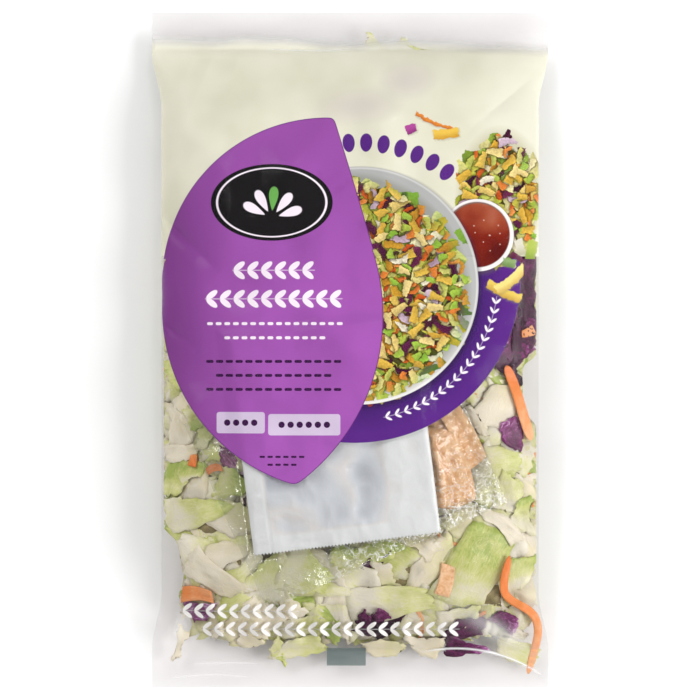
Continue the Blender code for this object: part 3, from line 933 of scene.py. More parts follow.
def lay_scrap(rng, kind, middle, length, width, turn, tone):
    """A thin scrap against the front film at the bag's ends, no thicker than a fifth of the gap there."""
    u, _, flat_x, flat_y = cut_outline(rng, length, width, True)
    x, y = out_of_packet(flat_x, flat_y, middle, turn)
    film = film_height(x, y)
    room = np.clip(film - back_height(x, y), 0.00012, None)
    tones = np.clip(tone + 0.25 * u, 0.0, 1.0)
    fibre = np.stack([flat_x, flat_y, np.full_like(u, SCRAP_SHADE)], axis=-1)
    top, thick = film - np.minimum(0.0020, 0.65 * room), np.minimum(0.0004, 0.2 * room)
    pieces_made[kind].append((x, y, top, -thick, tones, np.full_like(u, SCRAP_SHADE), fibre))


for kind, middle, length, width, turn, tone in SEAL_SCRAPS:
    lay_scrap(rng, kind, middle, length, width, np.radians(turn), tone)
back_pile = Pile(
    -1.0,
    lambda x, y: -core_height(x, y, back_height, CORE_DROP),
    lambda x, y: -back_height(x, y) - 0.0006,
    salad_limit,
)
fill_pile(back_pile, rng, BACK_PIECES, lambda x, y: 1.0, CUT_KINDS, 0.5 * LAYER_DEPTH)

# Fried wonton strips, in the pouch: a few anywhere under the sachet, then those that show beside it.
STRIPS_LAID = (  # middle, length, width, turn in degrees
    ((0.0460, -0.0330), 0.036, 0.013, 70),
    ((0.0560, -0.0400), 0.040, 0.012, 118),
    ((0.0530, -0.0590), 0.040, 0.015, 106),
    ((0.0425, -0.0640), 0.034, 0.012, 112),
)


def pouch_limit(x, y):
    u, v = in_packet(x, y, POUCH_CENTRE, POUCH_TURN)
    return np.minimum(POUCH_WIDTH / 2 - np.abs(u) - 0.004, POUCH_LENGTH / 2 - np.abs(v) - 1.4 * POUCH_SEAL)


pouch_pile = Pile(
    1.0,
    lambda x, y: pouch_bottom(x, y) + 0.0005,
    lambda x, y: pouch_top(x, y) - 0.0005,
    pouch_limit,
)
fill_pile(pouch_pile, rng, 10, lambda x, y: (np.abs(x - 0.005) < 0.02) & (y > -0.070), ("wonton",), 0.003)
for middle, length, width, turn in STRIPS_LAID:
    lay_piece(pouch_pile, rng, "wonton", middle, length, width, np.radians(turn), 0.5, 0.0004)


def cut_material(name, tones, roughness, glow, spread, vein_share):
    """Fresh cut leaf or root: a moist skin over pale flesh that light passes into. The colour runs from the
    rib to the margin, with faint blotches, fibres along the piece, a net of paler veins, and a painted shade
    for each point, set when the pieces were laid.
    """
    material, add = material_of(name)
    place = add("TexCoord", out=3)
    fibre = add("Attribute", attribute_name="fibre", out=1)
    blotch = add("TexNoise", Vector=place, Scale=160.0, Detail=3.0, Roughness=0.6)
    drawn_out = add("VectorMath", fibre, (140.0, 1100.0, 40.0), operation="MULTIPLY")
    streak = add("TexNoise", Vector=drawn_out, Scale=1.0, Detail=2.0, Roughness=0.6)
    netted = add("VectorMath", fibre, (120.0, 260.0, 30.0), operation="MULTIPLY")
    net = add("TexVoronoi", Vector=netted, Scale=1.0, feature="DISTANCE_TO_EDGE")
    vein = add("MapRange", net, 0.0, 0.09, 1.0, 0.0)
    tone = add("Attribute", attribute_name="tone", out=2)
    tone = add("Math", add("MapRange", blotch, 0.3, 0.7, -0.16, 0.16), tone, operation="ADD")
    tone = add("Math", add("MapRange", streak, 0.3, 0.7, -0.10, 0.10), tone, operation="ADD")
    tone = add("Math", vein, -vein_share, tone, operation="MULTIPLY_ADD")
    colour = add("ValToRGB", tone, stops=tones)
    shade = add("MapRange", add("Attribute", attribute_name="shade", out=2), 0.0, 1.0, 1.0 - spread, 1.0)
    colour = add("MixRGB", 1.0, colour, add("CombineColor", shade, shade, shade), blend_type="MULTIPLY")
    height = add("Math", vein, 0.35, streak, operation="MULTIPLY_ADD")
    relief = add("Bump", 0.35, 0.0006, 0.1, height)
    skin = add("BsdfPrincipled", Base_Color=colour, Roughness=roughness, Normal=relief, IOR=1.40)
    finish_with(add, add("MixShader", glow, skin, add("BsdfTranslucent", colour, relief)))
    return material


CUT_FINISHES = {  # colours from rib to margin, roughness, light passed on, spread of painted shade, veins
    "lettuce": (
        ((0.0, "#fdf6e2"), (0.3, "#fbf6cf"), (0.55, "#f1f0ac"), (0.8, "#dde388"), (1.0, "#b9cc66")),
        0.34, 0.14, 0.48, 0.07,
    ),
    "green_cabbage": (
        ((0.0, "#fdf4dd"), (0.35, "#faefce"), (0.7, "#f3edba"), (1.0, "#dde198")),
        0.38, 0.12, 0.50, 0.04,
    ),
    "red_cabbage": (
        ((0.0, "#28041a"), (0.4, "#480b38"), (0.7, "#75205e"), (0.9, "#a85499"), (1.0, "#dcbcd8")),
        0.42, 0.06, 0.45, -0.20,
    ),
    "carrot": (((0.0, "#ee7f3c"), (0.5, "#f4954f"), (1.0, "#f8bd8c")), 0.45, 0.15, 0.15, 0.0),
}
cut_materials = {kind: cut_material(f"fresh_cut_{kind}", *finish) for kind, finish in CUT_FINISHES.items()}

# Fried wonton: wheat dough rolled thin, cut and deep fried, so it is blistered, dry and browner in spots.
wonton_dough, add = material_of("fried_wheat_dough")
place = add("TexCoord", out=3)
blisters = add("TexNoise", Vector=place, Scale=330.0, Detail=3.0, Roughness=0.6)
browned = add("TexNoise", Vector=place, Scale=900.0, Detail=2.0, Roughness=0.7)
WONTON_TONES = ((0.30, "#cd925c"), (0.42, "#dfab7a"), (0.58, "#eabd92"), (0.8, "#f1cfa8"))
colour = add("ValToRGB", blisters, stops=WONTON_TONES)
colour = add("MixRGB", add("MapRange", browned, 0.62, 0.74, 0.0, 0.4), colour, "#ab6a36")
relief = add("Bump", 0.55, 0.0009, 0.1, blisters)
finish_with(add, add("BsdfPrincipled", Base_Color=colour, Roughness=0.6, Normal=relief))
cut_materials["wonton"] = wonton_dough

for kind, made in pieces_made.items():
    x, y, top, drop, tone, shade, fibre = (np.stack(grids) for grids in zip(*made))
    points, quads, rims = closed_pieces(np.stack([x, y, top], axis=-1), np.stack([x, y, top + drop], axis=-1))
    facing = quads.reshape(len(made), -1, 4)
    facing[drop[:, 0, 0] > 0] = facing[drop[:, 0, 0] > 0][:, :, ::-1]
    slot = "lettuce" if kind == "green_cabbage" else kind
    pieces = new_piece(f"salad_{kind}", points, facing.reshape(-1, 4), cut_materials[kind], slot, rims)
    doubled = [np.concatenate([grid.reshape(len(made), -1)] * 2, axis=1) for grid in (tone, shade)]
    fibre = np.concatenate([fibre.reshape(len(made), -1, 3)] * 2, axis=1)
    add_values(pieces, tone=doubled[0], shade=doubled[1], fibre=fibre)


def smooth_route(route, count):
    """A route with its corners cut three times at a quarter and three quarters, then spaced evenly."""
    path = np.array(route)
    for _ in range(3):
        cuts = np.stack([path[:-1] * 0.75 + path[1:] * 0.25, path[:-1] * 0.25 + path[1:] * 0.75], axis=1)
        path = np.concatenate([path[:1], cuts.reshape(-1, 2), path[-1:]])
    run = np.concatenate([[0.0], np.cumsum(np.hypot(*np.diff(path, axis=0).T))])
    even = np.linspace(0.0, run[-1], count)
    return np.stack([np.interp(even, run, path[:, axis]) for axis in (0, 1)], axis=-1)


SHRED_POINTS, SHRED_SIDES = 48, 6
upper, lower = [], []
for route, width in CARROT_SHREDS:
    path = smooth_route(route, SHRED_POINTS)
    along = np.gradient(path, axis=0)
    along /= np.hypot(along[:, 0], along[:, 1])[:, None]
    aside = np.linspace(-1.0, 1.0, SHRED_SIDES)[None, :] * width / 2
    taper = np.sqrt(np.clip(1.0 - np.linspace(-1.0, 1.0, SHRED_POINTS) ** 8, 0.04, 1.0))[:, None]
    x = path[:, :1] - along[:, 1:] * aside * taper
    y = path[:, 1:] + along[:, :1] * aside * taper
    room = np.clip(film_height(x, y) - back_height(x, y), 0.0, None)
    crown = 1.0 - 0.5 * (aside / (width / 2)) ** 4
    top = film_height(x, y) - np.minimum(0.0004, 0.1 * room)
    thickness = np.minimum(0.0014 * crown, 0.5 * room)
    upper.append(np.stack([x, y, top - 0.0004 * (1.0 - crown) * (room > 0.002)], axis=-1))
    lower.append(np.stack([x, y, top - thickness - 0.00002], axis=-1))
points, quads, rims = closed_pieces(np.stack(upper), np.stack(lower))
shreds = new_piece("carrot_shreds", points, quads[:, ::-1], cut_materials["carrot"], "carrot")
tone = np.linspace(0.1, 1.0, SHRED_POINTS)[None, :, None] * np.ones((len(upper), SHRED_POINTS, SHRED_SIDES))
doubled = np.concatenate([tone.reshape(len(upper), -1)] * 2, axis=1)
run = np.linspace(0.0, 0.08, SHRED_POINTS)[None, :, None] * np.ones((len(upper), SHRED_POINTS, SHRED_SIDES))
side = np.linspace(-0.0025, 0.0025, SHRED_SIDES)[None, None, :] * np.ones_like(run)
fibre = np.stack([run, side, np.zeros_like(run)], axis=-1).reshape(len(upper), -1, 3)
add_values(shreds, tone=doubled, shade=np.ones_like(doubled), fibre=np.concatenate([fibre] * 2, axis=1))

# The core: the salad's own hidden mass, as one plain lump under the pieces, with the empty corner cut away.
CORE_COLUMNS, CORE_ROWS = 90, 150
share, y = np.meshgrid(np.linspace(0.0, 1.0, CORE_COLUMNS + 1), np.linspace(-1.0, 1.0, CORE_ROWS + 1))
y = y * CORE_HALF_LENGTH
corner_x = EMPTY_CORNER[0] - (y - EMPTY_CORNER[1]) / EMPTY_CORNER_SLOPE + 1.4 * CORE_ROUND
core_left = np.maximum(-CORE_HALF_WIDTH, corner_x)
x = core_left + (CORE_HALF_WIDTH - core_left) * share
bumps = 0.0009 * soft_noise(x, y, 0.009, 81)
upper = core_height(x, y, front_height, CORE_RISE) + bumps - packet_depth(x, y) * 0.6 + 0.0004
lower = np.minimum(core_height(x, y, back_height, CORE_DROP), upper - 0.001)
core_in_painted_shade, add = material_of("packed_lettuce_painted_dark")
blotch = add("TexNoise", Vector=add("TexCoord", out=3), Scale=110.0, Detail=4.0, Roughness=0.65)
# Its colours are dark brown-olive, painted shade for the deep gaps between the pieces, where alone the core
# shows.
colour = add("ValToRGB", blotch, stops=((0.30, "#50452b"), (0.5, "#7c7048"), (0.7, "#a3976b")))
relief = add("Bump", 0.6, 0.001, 0.1, blotch)
finish_with(add, add("BsdfPrincipled", Base_Color=colour, Roughness=0.6, Normal=relief))
upper, lower = (np.stack([x, y, height], axis=-1)[None] for height in (upper, lower))
points, quads, _ = closed_pieces(upper, lower)
new_piece("salad_core", points, quads, core_in_painted_shade, "lettuce")

# The film itself. The front and the back are one tube's two sides, welded along both ends and folded along
# the sides. The back has a lap seal down its middle, where the roll's two edges were joined.
FRONT_COLUMNS, FRONT_ROWS = 250, 380
BACK_COLUMNS, BACK_ROWS = 140, 200
LAP_HALF_WIDTH, LAP_STEP = 0.0065, 0.0004

# White arcs along creases of the front film: painted highlight, with some of a creased film's own whitening.
PAINTED_GLARE_FOLDS = (  # centre, radius, least and greatest x, half width, strength
    ((54.4, -229.8), 76.9, 36.0, 99.0, 0.9, 0.85),
    ((-62.0, -400.0), 239.6, -82.0, -44.0, 0.6, 0.22),
    ((-70.0, -300.0), 133.4, -94.0, -48.0, 0.7, 0.18),
    ((-20.0, 400.0), 246.6, -44.0, 2.0, 0.7, 0.40),
)
# Whiter patches of the front film: painted glare at two folds by the foot, and a painted light band along the
# head seal that lightens the shadow under it.
PAINTED_LIGHT_PATCHES = (  # centre, half size, turn in degrees, strength
    ((0.0750, -0.1435), (0.018, 0.0046), -30.0, 0.42),
    ((-0.0880, -0.1430), (0.010, 0.0040), 60.0, 0.25),
    ((0.0, 0.1585), (0.400, 0.0045), 0.0, 0.20),
)
bag_film = clear_film("clear_polypropylene", "#f9f8f8", 0.006, 0.10, 2.6, 0.00010, 0.003, False, PAINTED_GLARE_FOLDS)
_, film_x, film_y = bag_grid(FRONT_COLUMNS, FRONT_ROWS)
film_z = film_height(film_x, film_y)
front = new_piece(
    "film_front",
    np.stack([film_x, film_y, film_z], axis=-1).reshape(-1, 3),
    grid_faces(FRONT_ROWS + 1, FRONT_COLUMNS + 1),
    bag_film,
    "film",
)
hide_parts("bag")
milky = np.zeros_like(film_x)
for centre, half_size, turn, strength in PAINTED_LIGHT_PATCHES:
    u, v = in_packet(film_x, film_y, centre, np.radians(turn))
    milky = milky + strength * np.exp(-((u / half_size[0]) ** 2) - (v / half_size[1]) ** 2)
add_values(front, milky=milky)
across, x, y = bag_grid(BACK_COLUMNS, BACK_ROWS)
rim = np.minimum(1.0, 40.0 * np.minimum(1.0 - np.abs(across), 1.0 - 2 * np.abs(y) / BAG_LENGTH))
beside_lap = smoothstep(LAP_HALF_WIDTH, LAP_HALF_WIDTH + 0.001, np.abs(x - 0.004))
lap = LAP_STEP * beside_lap * smoothstep(0.0, 0.2, swelling(across, y))
z = np.maximum(back_height(x, y) - rim * WELD_GAP, 0.0) + lap
back = new_piece(
    "film_back",
    np.stack([x, y, z], axis=-1).reshape(-1, 3),
    grid_faces(BACK_ROWS + 1, BACK_COLUMNS + 1)[:, ::-1],
    bag_film,
    "film",
)

# The print: flexographic inks on the inside of the front film, as a thin sheet of its own just under it.
# A cream ground, a pointed violet-pink panel, a deep violet ring, a picture of a bowl of salad, and plain
# ornament. All places and sizes are in millimetres on the flat film.
INK_GAP = 0.00015
CREAM, CREAM_SHADE, CREAM_IN_SALAD_SHADOW = "#eae9d6", "#e1e0ca", "#d8d1ca"
PANEL, PANEL_EDGE, PANEL_SHADE = "#a458b2", "#6d2f80", "#783a82"
RING, RING_DEEP = "#592684", "#421d6c"
PLAQUE, PALE_INK, DARK_INK, PLATE_INK, LEAF_INK = "#151315", "#f6ecf6", "#3b1646", "#d3c3dd", "#6fb257"
CREAM_TOP, CREAM_FADE, CREAM_FOOT, CREAM_COVER = 162.0, 9.0, 47.6, 0.93
PANEL_ARCS = (  # centre and radius: upper left, lower left, upper right, lower right
    ((-11.5, 33.7), 84.6),
    ((-2.3, 21.7), 93.8),
    ((-2872.4, -774.0), 3000.0),
    ((-89.0, 17.6), 105.9),
)
PANEL_WAIST_LEFT, PANEL_WAIST_RIGHT = 28.0, 50.9  # where each side's upper arc meets the lower one
RING_CENTRE, RING_RADIUS = (2.4, 37.4), 84.5
BOWL_CENTRE, BOWL_RADIUS = (5.0, 32.8), 60.4
FILL_CENTRE, FILL_RADIUS = (4.2, 32.8), 57.5
BOWL_LIGHT, BOWL_SHADE = "#eceae6", "#b4b6b4"
CUP_CENTRE, CUP_RADIUS, SAUCE_RADIUS = (65.0, 58.4), 18.4, 16.2
CLUSTER_CENTRE, CLUSTER_HALF = (77.0, 78.0), (21.0, 32.5)
LOOSE_BITS = (  # middle, half size, turn in degrees, ink, ink of its darker side
    ((42.4, 115.7), (10.0, 0.8), -22.0, "#e08a34", "#b9602a"),
    ((49.0, 110.0), (6.6, 2.4), 8.0, "#e6c050", "#c9962f"),
    ((31.1, 112.6), (2.7, 2.3), 22.0, "#b04a98", "#8a3478"),
    ((78.2, 29.2), (9.5, 2.3), -25.0, "#e2c65e", "#c29a44"),
    ((82.8, 35.8), (10.0, 2.5), 40.0, "#efdc86", "#cfae58"),
    ((86.6, 52.6), (2.2, 3.8), 14.0, "#d9d6c6", "#bab896"),
    ((92.6, 51.0), (2.6, 5.0), -12.0, "#aebf57", "#879f42"),
    ((81.0, 44.4), (3.4, 1.8), -14.0, "#90aa70", "#6c8a4e"),
)
SAUCE_INKS = ((0.25, "#5c0f0c"), (0.55, "#80200f"), (0.78, "#a04a30"), (1.0, "#bd7860"))
PLAQUE_CENTRE, PLAQUE_HALF = (-39.8, 75.0), (31.0, 19.5)
EYE_MARK, EYE_MARK_HALF, EYE_MARK_COLOUR = (-1.9, -157.2), (10.0, 4.6), "#6b7a78"

inks, add = material_of("flexographic_inks")


def inked(distance, edge=0.10):
    """1 within a shape and 0 outside it, from the signed distance to its edge in millimetres."""
    return add("MapRange", distance, -edge, edge, 1.0, 0.0)


def overlap(*masks):
    """The product of several masks: 1 where all of them hold."""
    product = masks[0]
    for mask in masks[1:]:
        product = add("Math", product, mask, operation="MULTIPLY")
    return product


def between(value, low, high, soft):
    """1 where a value lies between two limits and 0 beyond them, with a ramp of one softness at each."""
    above = add("MapRange", value, low, low + soft, 0.0, 1.0)
    return overlap(above, add("MapRange", value, high, high + soft, 1.0, 0.0))


def seen_from(place, centre, degrees=0.0):
    """A place counted from a motif's centre, and turned back by the motif's own turn."""
    away = add("VectorMath", place, (*centre, 0.0), operation="SUBTRACT")
    if degrees:
        away = add("VectorRotate", away, rotation_type="Z_AXIS", Angle=float(np.radians(-degrees)))
    return away


def disc(place, centre, radius):
    """The distance from a circle: the length from its centre, less its radius."""
    away = add("VectorMath", seen_from(place, centre), operation="LENGTH", out=1)
    return add("Math", away, radius, operation="SUBTRACT")


def plate(place, half_size, corner):
    """The distance from a rectangle with round corners: the length outside its inner rectangle."""
    inner = (half_size[0] - corner, half_size[1] - corner, 0.0)
    over = add("VectorMath", add("VectorMath", place, operation="ABSOLUTE"), inner, operation="SUBTRACT")
    over = add("VectorMath", over, (0.0, 0.0, 0.0), operation="MAXIMUM")
    return add("Math", add("VectorMath", over, operation="LENGTH", out=1), corner, operation="SUBTRACT")


def oval(place, half_size):
    """About the distance from an ellipse: its scaled radius less 1, times its lesser half size."""
    scaled = add("VectorMath", place, (1 / half_size[0], 1 / half_size[1], 0.0), operation="MULTIPLY")
    away = add("VectorMath", scaled, operation="LENGTH", out=1)
    return add("Math", away, min(half_size), -min(half_size), operation="MULTIPLY_ADD")


def repeated(place, pitch):
    """The same stretch over and over along x: x within its pitch, counted from the stretch's middle."""
    x = add("Math", add("SeparateXYZ", place), pitch, operation="FLOORED_MODULO")
    x = add("Math", x, pitch / 2, operation="SUBTRACT")
    return add("CombineXYZ", x, add("SeparateXYZ", place, out=1), 0.0)


def round_about(place, centre, radius):
    """Places as seen along a circle: x is the run along it in millimetres, and y the height outside it."""
    away = seen_from(place, centre)
    angle = add("Math", add("SeparateXYZ", away, out=1), add("SeparateXYZ", away), operation="ARCTAN2")
    height = add("Math", add("VectorMath", away, operation="LENGTH", out=1), radius, operation="SUBTRACT")
    return add("CombineXYZ", add("Math", angle, radius, operation="MULTIPLY"), height, 0.0)


def sprig(place, pitch, leaf):
    """A running sprig: pairs of leaves that lean forward from a thin stem, at an even pitch."""
    step = repeated(place, pitch)
    aside = add("Math", add("SeparateXYZ", step, out=1), operation="ABSOLUTE")
    mirrored = add("CombineXYZ", add("SeparateXYZ", step), aside, 0.0)
    leaves = oval(seen_from(mirrored, (0.0, 0.62 * leaf[0]), 38.0), leaf)
    stem = plate(place, (1000.0, 0.14 * leaf[1]), 0.01)
    return add("Math", leaves, stem, operation="MINIMUM")


def dashes(place, pitch, half_size):
    """A row of short bars with round ends, at an even pitch."""
    return plate(repeated(place, pitch), half_size, min(half_size) * 0.98)


def in_heap(place):
    """The distance from the picture's two heaps of salad: the bowl's fill, drawn in at its far upper
    right, and the loose cluster beside the cup.
    """
    far = add("Math", add("SeparateXYZ", place), add("SeparateXYZ", place, out=1), operation="ADD")
    drawn_in = add("MapRange", far, 76.0, 118.0, 0.0, 4.0)
    fill = add("Math", disc(place, FILL_CENTRE, FILL_RADIUS), drawn_in, operation="ADD")
    return add("Math", fill, oval(seen_from(place, CLUSTER_CENTRE), CLUSTER_HALF), operation="MINIMUM")


def cut_bits(place, seed, pitch, half_size, bend, colours, share):
    """Chopped pieces of one kind, drawn flat: one tapered bar in each cell round a random point, turned
    and bent at random. Gives their distance, their colour, lighter on one side, and which cells hold one:
    a share of those whose point is in a heap.
    """
    moved = seen_from(place, (seed * 31.7, seed * -17.3))
    cell = add("TexVoronoi", Vector=moved, Scale=1.0 / pitch, Randomness=1.0, voronoi_dimensions="2D").node
    chance = add("SeparateColor", cell.outputs["Color"]).node.outputs
    centre = add("VectorMath", cell.outputs["Position"], (seed * 31.7, seed * -17.3, 0.0), operation="ADD")
    own = add("VectorMath", moved, cell.outputs["Position"], operation="SUBTRACT")
    turn = add("Math", chance[0], 2 * np.pi, operation="MULTIPLY")
    own = add("VectorRotate", own, rotation_type="Z_AXIS", Angle=turn)
    x, y = add("SeparateXYZ", own), add("SeparateXYZ", own, out=1)
    widen = add("Math", x, 0.35 / half_size[0], 1.0, operation="MULTIPLY_ADD")
    bow = add("Math", x, x, operation="MULTIPLY")
    bow = add("Math", bow, bend / half_size[0], y, operation="MULTIPLY_ADD")
    y = add("Math", bow, widen, operation="MULTIPLY")
    distance = plate(add("CombineXYZ", x, y, 0.0), half_size, 0.3 * min(half_size))
    light = add("MapRange", y, -half_size[1], half_size[1], 0.70, 1.08)
    colour = add("ValToRGB", chance[1], stops=colours)
    colour = add("MixRGB", 1.0, colour, add("CombineColor", light, light, light), blend_type="MULTIPLY")
    heaped = add("Math", in_heap(centre), 0.0, operation="LESS_THAN")
    return distance, colour, overlap(add("Math", chance[2], share, operation="LESS_THAN"), heaped)


SALAD_INKS = (  # pitch, half size, bend, colours, share of cells
    (9.4, (6.4, 4.0), 0.2, ((0.0, "#7d9a34"), (0.35, "#a3bd44"), (0.6, "#c6d055"), (0.85, "#e0d890")), 0.95),
    (8.6, (5.4, 2.8), 0.3, ((0.0, "#a9b23a"), (0.4, "#d0cd52"), (0.7, "#e2d67c"), (0.9, "#f0ebc8")), 0.80),
    (10.4, (5.8, 1.8), 0.5, ((0.0, "#35102a"), (0.5, "#561c3c"), (0.85, "#7c2f55")), 0.50),
    (6.4, (3.6, 1.1), 0.5, ((0.0, "#c84c1a"), (0.5, "#e06e2a"), (0.8, "#ee984c")), 0.55),
    (8.2, (5.4, 1.9), 0.1, ((0.0, "#bd8428"), (0.35, "#dba935"), (0.65, "#e8c454"), (0.85, "#eed788")), 0.62),
    (8.4, (5.2, 1.3), 0.4, ((0.0, "#bfc858"), (0.5, "#e2d58c"), (0.8, "#f3ebd0")), 0.55),
    (10.0, (4.8, 1.6), 0.3, ((0.0, "#451433"), (0.6, "#6a2450"), (0.93, "#e0c8d8")), 0.38),
    (6.4, (2.6, 1.5), 0.2, ((0.0, "#8fc03e"), (0.5, "#b0cc50"), (0.8, "#e6863a")), 0.45),
    (8.6, (4.2, 1.7), 0.0, ((0.0, "#d8a63a"), (0.5, "#e8c353"), (0.8, "#f3dc92")), 0.45),
)


def salad_picture(place):
    """Layers of chopped pieces, each with a dark soft shadow on what lies under it, over a dark base. Gives
    the colour, and where anything is drawn.
    """
    grain = add("TexNoise", Vector=place, Scale=0.9, Detail=2.0, Roughness=0.6)
    grain = add("MapRange", grain, 0.3, 0.7, 0.72, 1.12)
    grain = add("CombineColor", grain, grain, grain)
    colour, drawn = "#4a4a1c", inked(add("Math", in_heap(place), 3.0, operation="ADD"), 0.5)
    for seed, (pitch, half_size, bend, colours, share) in enumerate(SALAD_INKS):
        distance, ink, there = cut_bits(place, seed + 1, pitch, half_size, bend, colours, share)
        shadow = overlap(add("MapRange", distance, 0.0, 1.3, 0.80, 0.0), there)
        piece = overlap(inked(distance, 0.14), there)
        colour = add("MixRGB", shadow, colour, "#35220e")
        colour = add("MixRGB", piece, colour, add("MixRGB", 1.0, ink, grain, blend_type="MULTIPLY"))
        drawn = add("Math", drawn, piece, operation="MAXIMUM")
    return colour, drawn


flat = add("VectorMath", add("TexCoord", out=3), (1000.0, 1000.0, 0.0), operation="MULTIPLY")
across, along = add("SeparateXYZ", flat), add("SeparateXYZ", flat, out=1)
printed = {"colour": "#bcbcbc", "cover": 0.0}  # all the inks laid so far, and what they hide


def lay(colour, mask, cover=1.0):
    """Prints one ink over those already laid: it takes the mask's place, and adds to what is hidden,
    unless its cover is 0, for an ink that lies on others only.
    """
    printed["colour"] = add("MixRGB", mask, printed["colour"], colour)
    if cover > 0.0:
        hides = overlap(mask, cover) if cover < 1.0 else mask
        printed["cover"] = add("Math", hides, printed["cover"], operation="MAXIMUM")


# The cream ground fades out at its top along an uneven edge, and lets a little of the salad's colour through.
uneven = add("MapRange", add("TexNoise", Vector=flat, Scale=0.03, Detail=1.0), 0.35, 0.65, -1.5, 2.0)
edge = add("Math", add("Math", across, 0.016, along, operation="MULTIPLY_ADD"), uneven, operation="ADD")
ground = overlap(
    add("MapRange", along, CREAM_FOOT, CREAM_FOOT + 0.2, 0.0, 1.0),
    add("MapRange", edge, CREAM_TOP - CREAM_FADE, CREAM_TOP, 1.0, 0.0, interpolation_type="SMOOTHSTEP"),
)
mottle = add("TexNoise", Vector=flat, Scale=0.028, Detail=2.0, Roughness=0.5)
cream = add("MixRGB", add("MapRange", mottle, 0.38, 0.62, 0.0, 1.0), CREAM, CREAM_SHADE)
# Two soft ovals of painted shadow: salad lying behind the cream ink.
for centre, half_size in (((4.0, 124.0), (18.0, 8.0)), ((29.6, 138.0), (12.0, 8.5))):
    salad_shadow_through = add("MapRange", oval(seen_from(flat, centre, 4.0), half_size), -6.0, 3.0, 0.75, 0.0)
    cream = add("MixRGB", salad_shadow_through, cream, CREAM_IN_SALAD_SHADOW)
lay(cream, ground, CREAM_COVER)

# The violet ring, deeper towards the bowl, with a pale sprig round it, and a garland on the cream.
ring = overlap(inked(disc(flat, RING_CENTRE, RING_RADIUS)), add("Math", 1.0, ground, operation="SUBTRACT"))
deep = add("MapRange", disc(flat, BOWL_CENTRE, BOWL_RADIUS), 0.0, 14.0, 1.0, 0.0)
lay(add("MixRGB", deep, RING, RING_DEEP), ring)
run = round_about(flat, RING_CENTRE, 73.0)
stretch = between(add("SeparateXYZ", run), -100.1, -10.1, 0.2)
lay(PALE_INK, overlap(inked(sprig(run, 5.0, (1.8, 0.62))), stretch), 0.0)
run = round_about(flat, BOWL_CENTRE, 72.7)
stretch = between(add("SeparateXYZ", run), 62.0, 124.3, 0.1)
lay(RING, overlap(inked(oval(repeated(run, 8.88), (3.1, 4.7))), stretch), 0.0)

# Loose salad in a cluster, and the cup of dressing, with a paler shine at its far side.
bits = add("TexNoise", Vector=flat, Scale=0.45, Detail=2.0, Roughness=0.6, out=1)
RAGGED = 2.4  # how far the noise shifts the bits' edges
bits = add("VectorMath", bits, (RAGGED, RAGGED, 0.0), flat, operation="MULTIPLY_ADD")
salad, drawn = salad_picture(bits)
bowl = disc(flat, BOWL_CENTRE, BOWL_RADIUS)
cluster = oval(seen_from(flat, CLUSTER_CENTRE), CLUSTER_HALF)
lay("#b9b58f", overlap(add("MapRange", cluster, -2.0, 3.0, 0.6, 0.0), ground), 0.0)
lay(salad, overlap(drawn, add("MapRange", bowl, -1.0, -0.8, 0.0, 1.0)))
cup_shadow = disc(flat, (CUP_CENTRE[0] + 0.5, CUP_CENTRE[1] - 0.9), CUP_RADIUS + 0.8)
lay("#5c5148", overlap(inked(cup_shadow, 1.0), 0.5), 0.0)
lay("#ece9e8", inked(disc(flat, CUP_CENTRE, CUP_RADIUS)), 0.0)
inner_wall = disc(flat, (CUP_CENTRE[0] - 0.3, CUP_CENTRE[1] + 0.3), SAUCE_RADIUS + 0.5)
lay("#7d5f55", inked(inner_wall, 0.3), 0.0)
pool = add("TexNoise", Vector=flat, Scale=0.05, Detail=2.0, Roughness=0.5)
pool = add("Math", add("MapRange", along, 44.0, 76.0, -0.22, 0.34), pool, operation="ADD")
sauce = add("ValToRGB", pool, stops=SAUCE_INKS)
lay(sauce, inked(disc(flat, CUP_CENTRE, SAUCE_RADIUS), 0.25), 0.0)
seeds = add("TexVoronoi", Vector=flat, Scale=0.24, voronoi_dimensions="2D").node
seed_here = add("Math", add("SeparateColor", seeds.outputs["Color"]), 0.35, operation="LESS_THAN")
seed_mark = add("MapRange", seeds.outputs["Distance"], 0.05, 0.09, 0.9, 0.0)
lay("#f0d9c8", overlap(seed_mark, seed_here, inked(disc(flat, CUP_CENTRE, SAUCE_RADIUS - 2.0))), 0.0)

# The bowl stands over the cup. Its rim is lit from the lower left, and its fill is the same chopped salad.
bowl_shadow = disc(flat, (BOWL_CENTRE[0] + 0.8, BOWL_CENTRE[1] - 1.4), BOWL_RADIUS + 0.8)
lay("#2a1a3a", overlap(inked(bowl_shadow, 1.2), 0.55), 0.0)
rim_light = add("MapRange", add("Math", across, along, operation="ADD"), -20.0, 90.0, 0.0, 1.0)
lay(add("MixRGB", rim_light, BOWL_LIGHT, BOWL_SHADE), inked(bowl), 0.0)
lay("#f3f2f0", inked(add("Math", add("Math", bowl, 0.8, operation="ADD"), operation="ABSOLUTE"), 0.8), 0.0)
heap_shadow = inked(add("Math", in_heap(flat), 0.5, operation="SUBTRACT"), 2.0)
lay("#8b8b80", overlap(heap_shadow, inked(bowl), 0.6), 0.0)
leafy_edge = overlap(add("MapRange", in_heap(flat), -6.0, -1.0, 0.0, 1.0), 0.6)
salad = add("MixRGB", leafy_edge, salad, add("MixRGB", 0.5, salad, "#6cc046"))
lay(salad, overlap(drawn, inked(add("Math", bowl, 1.6, operation="ADD"))), 0.0)

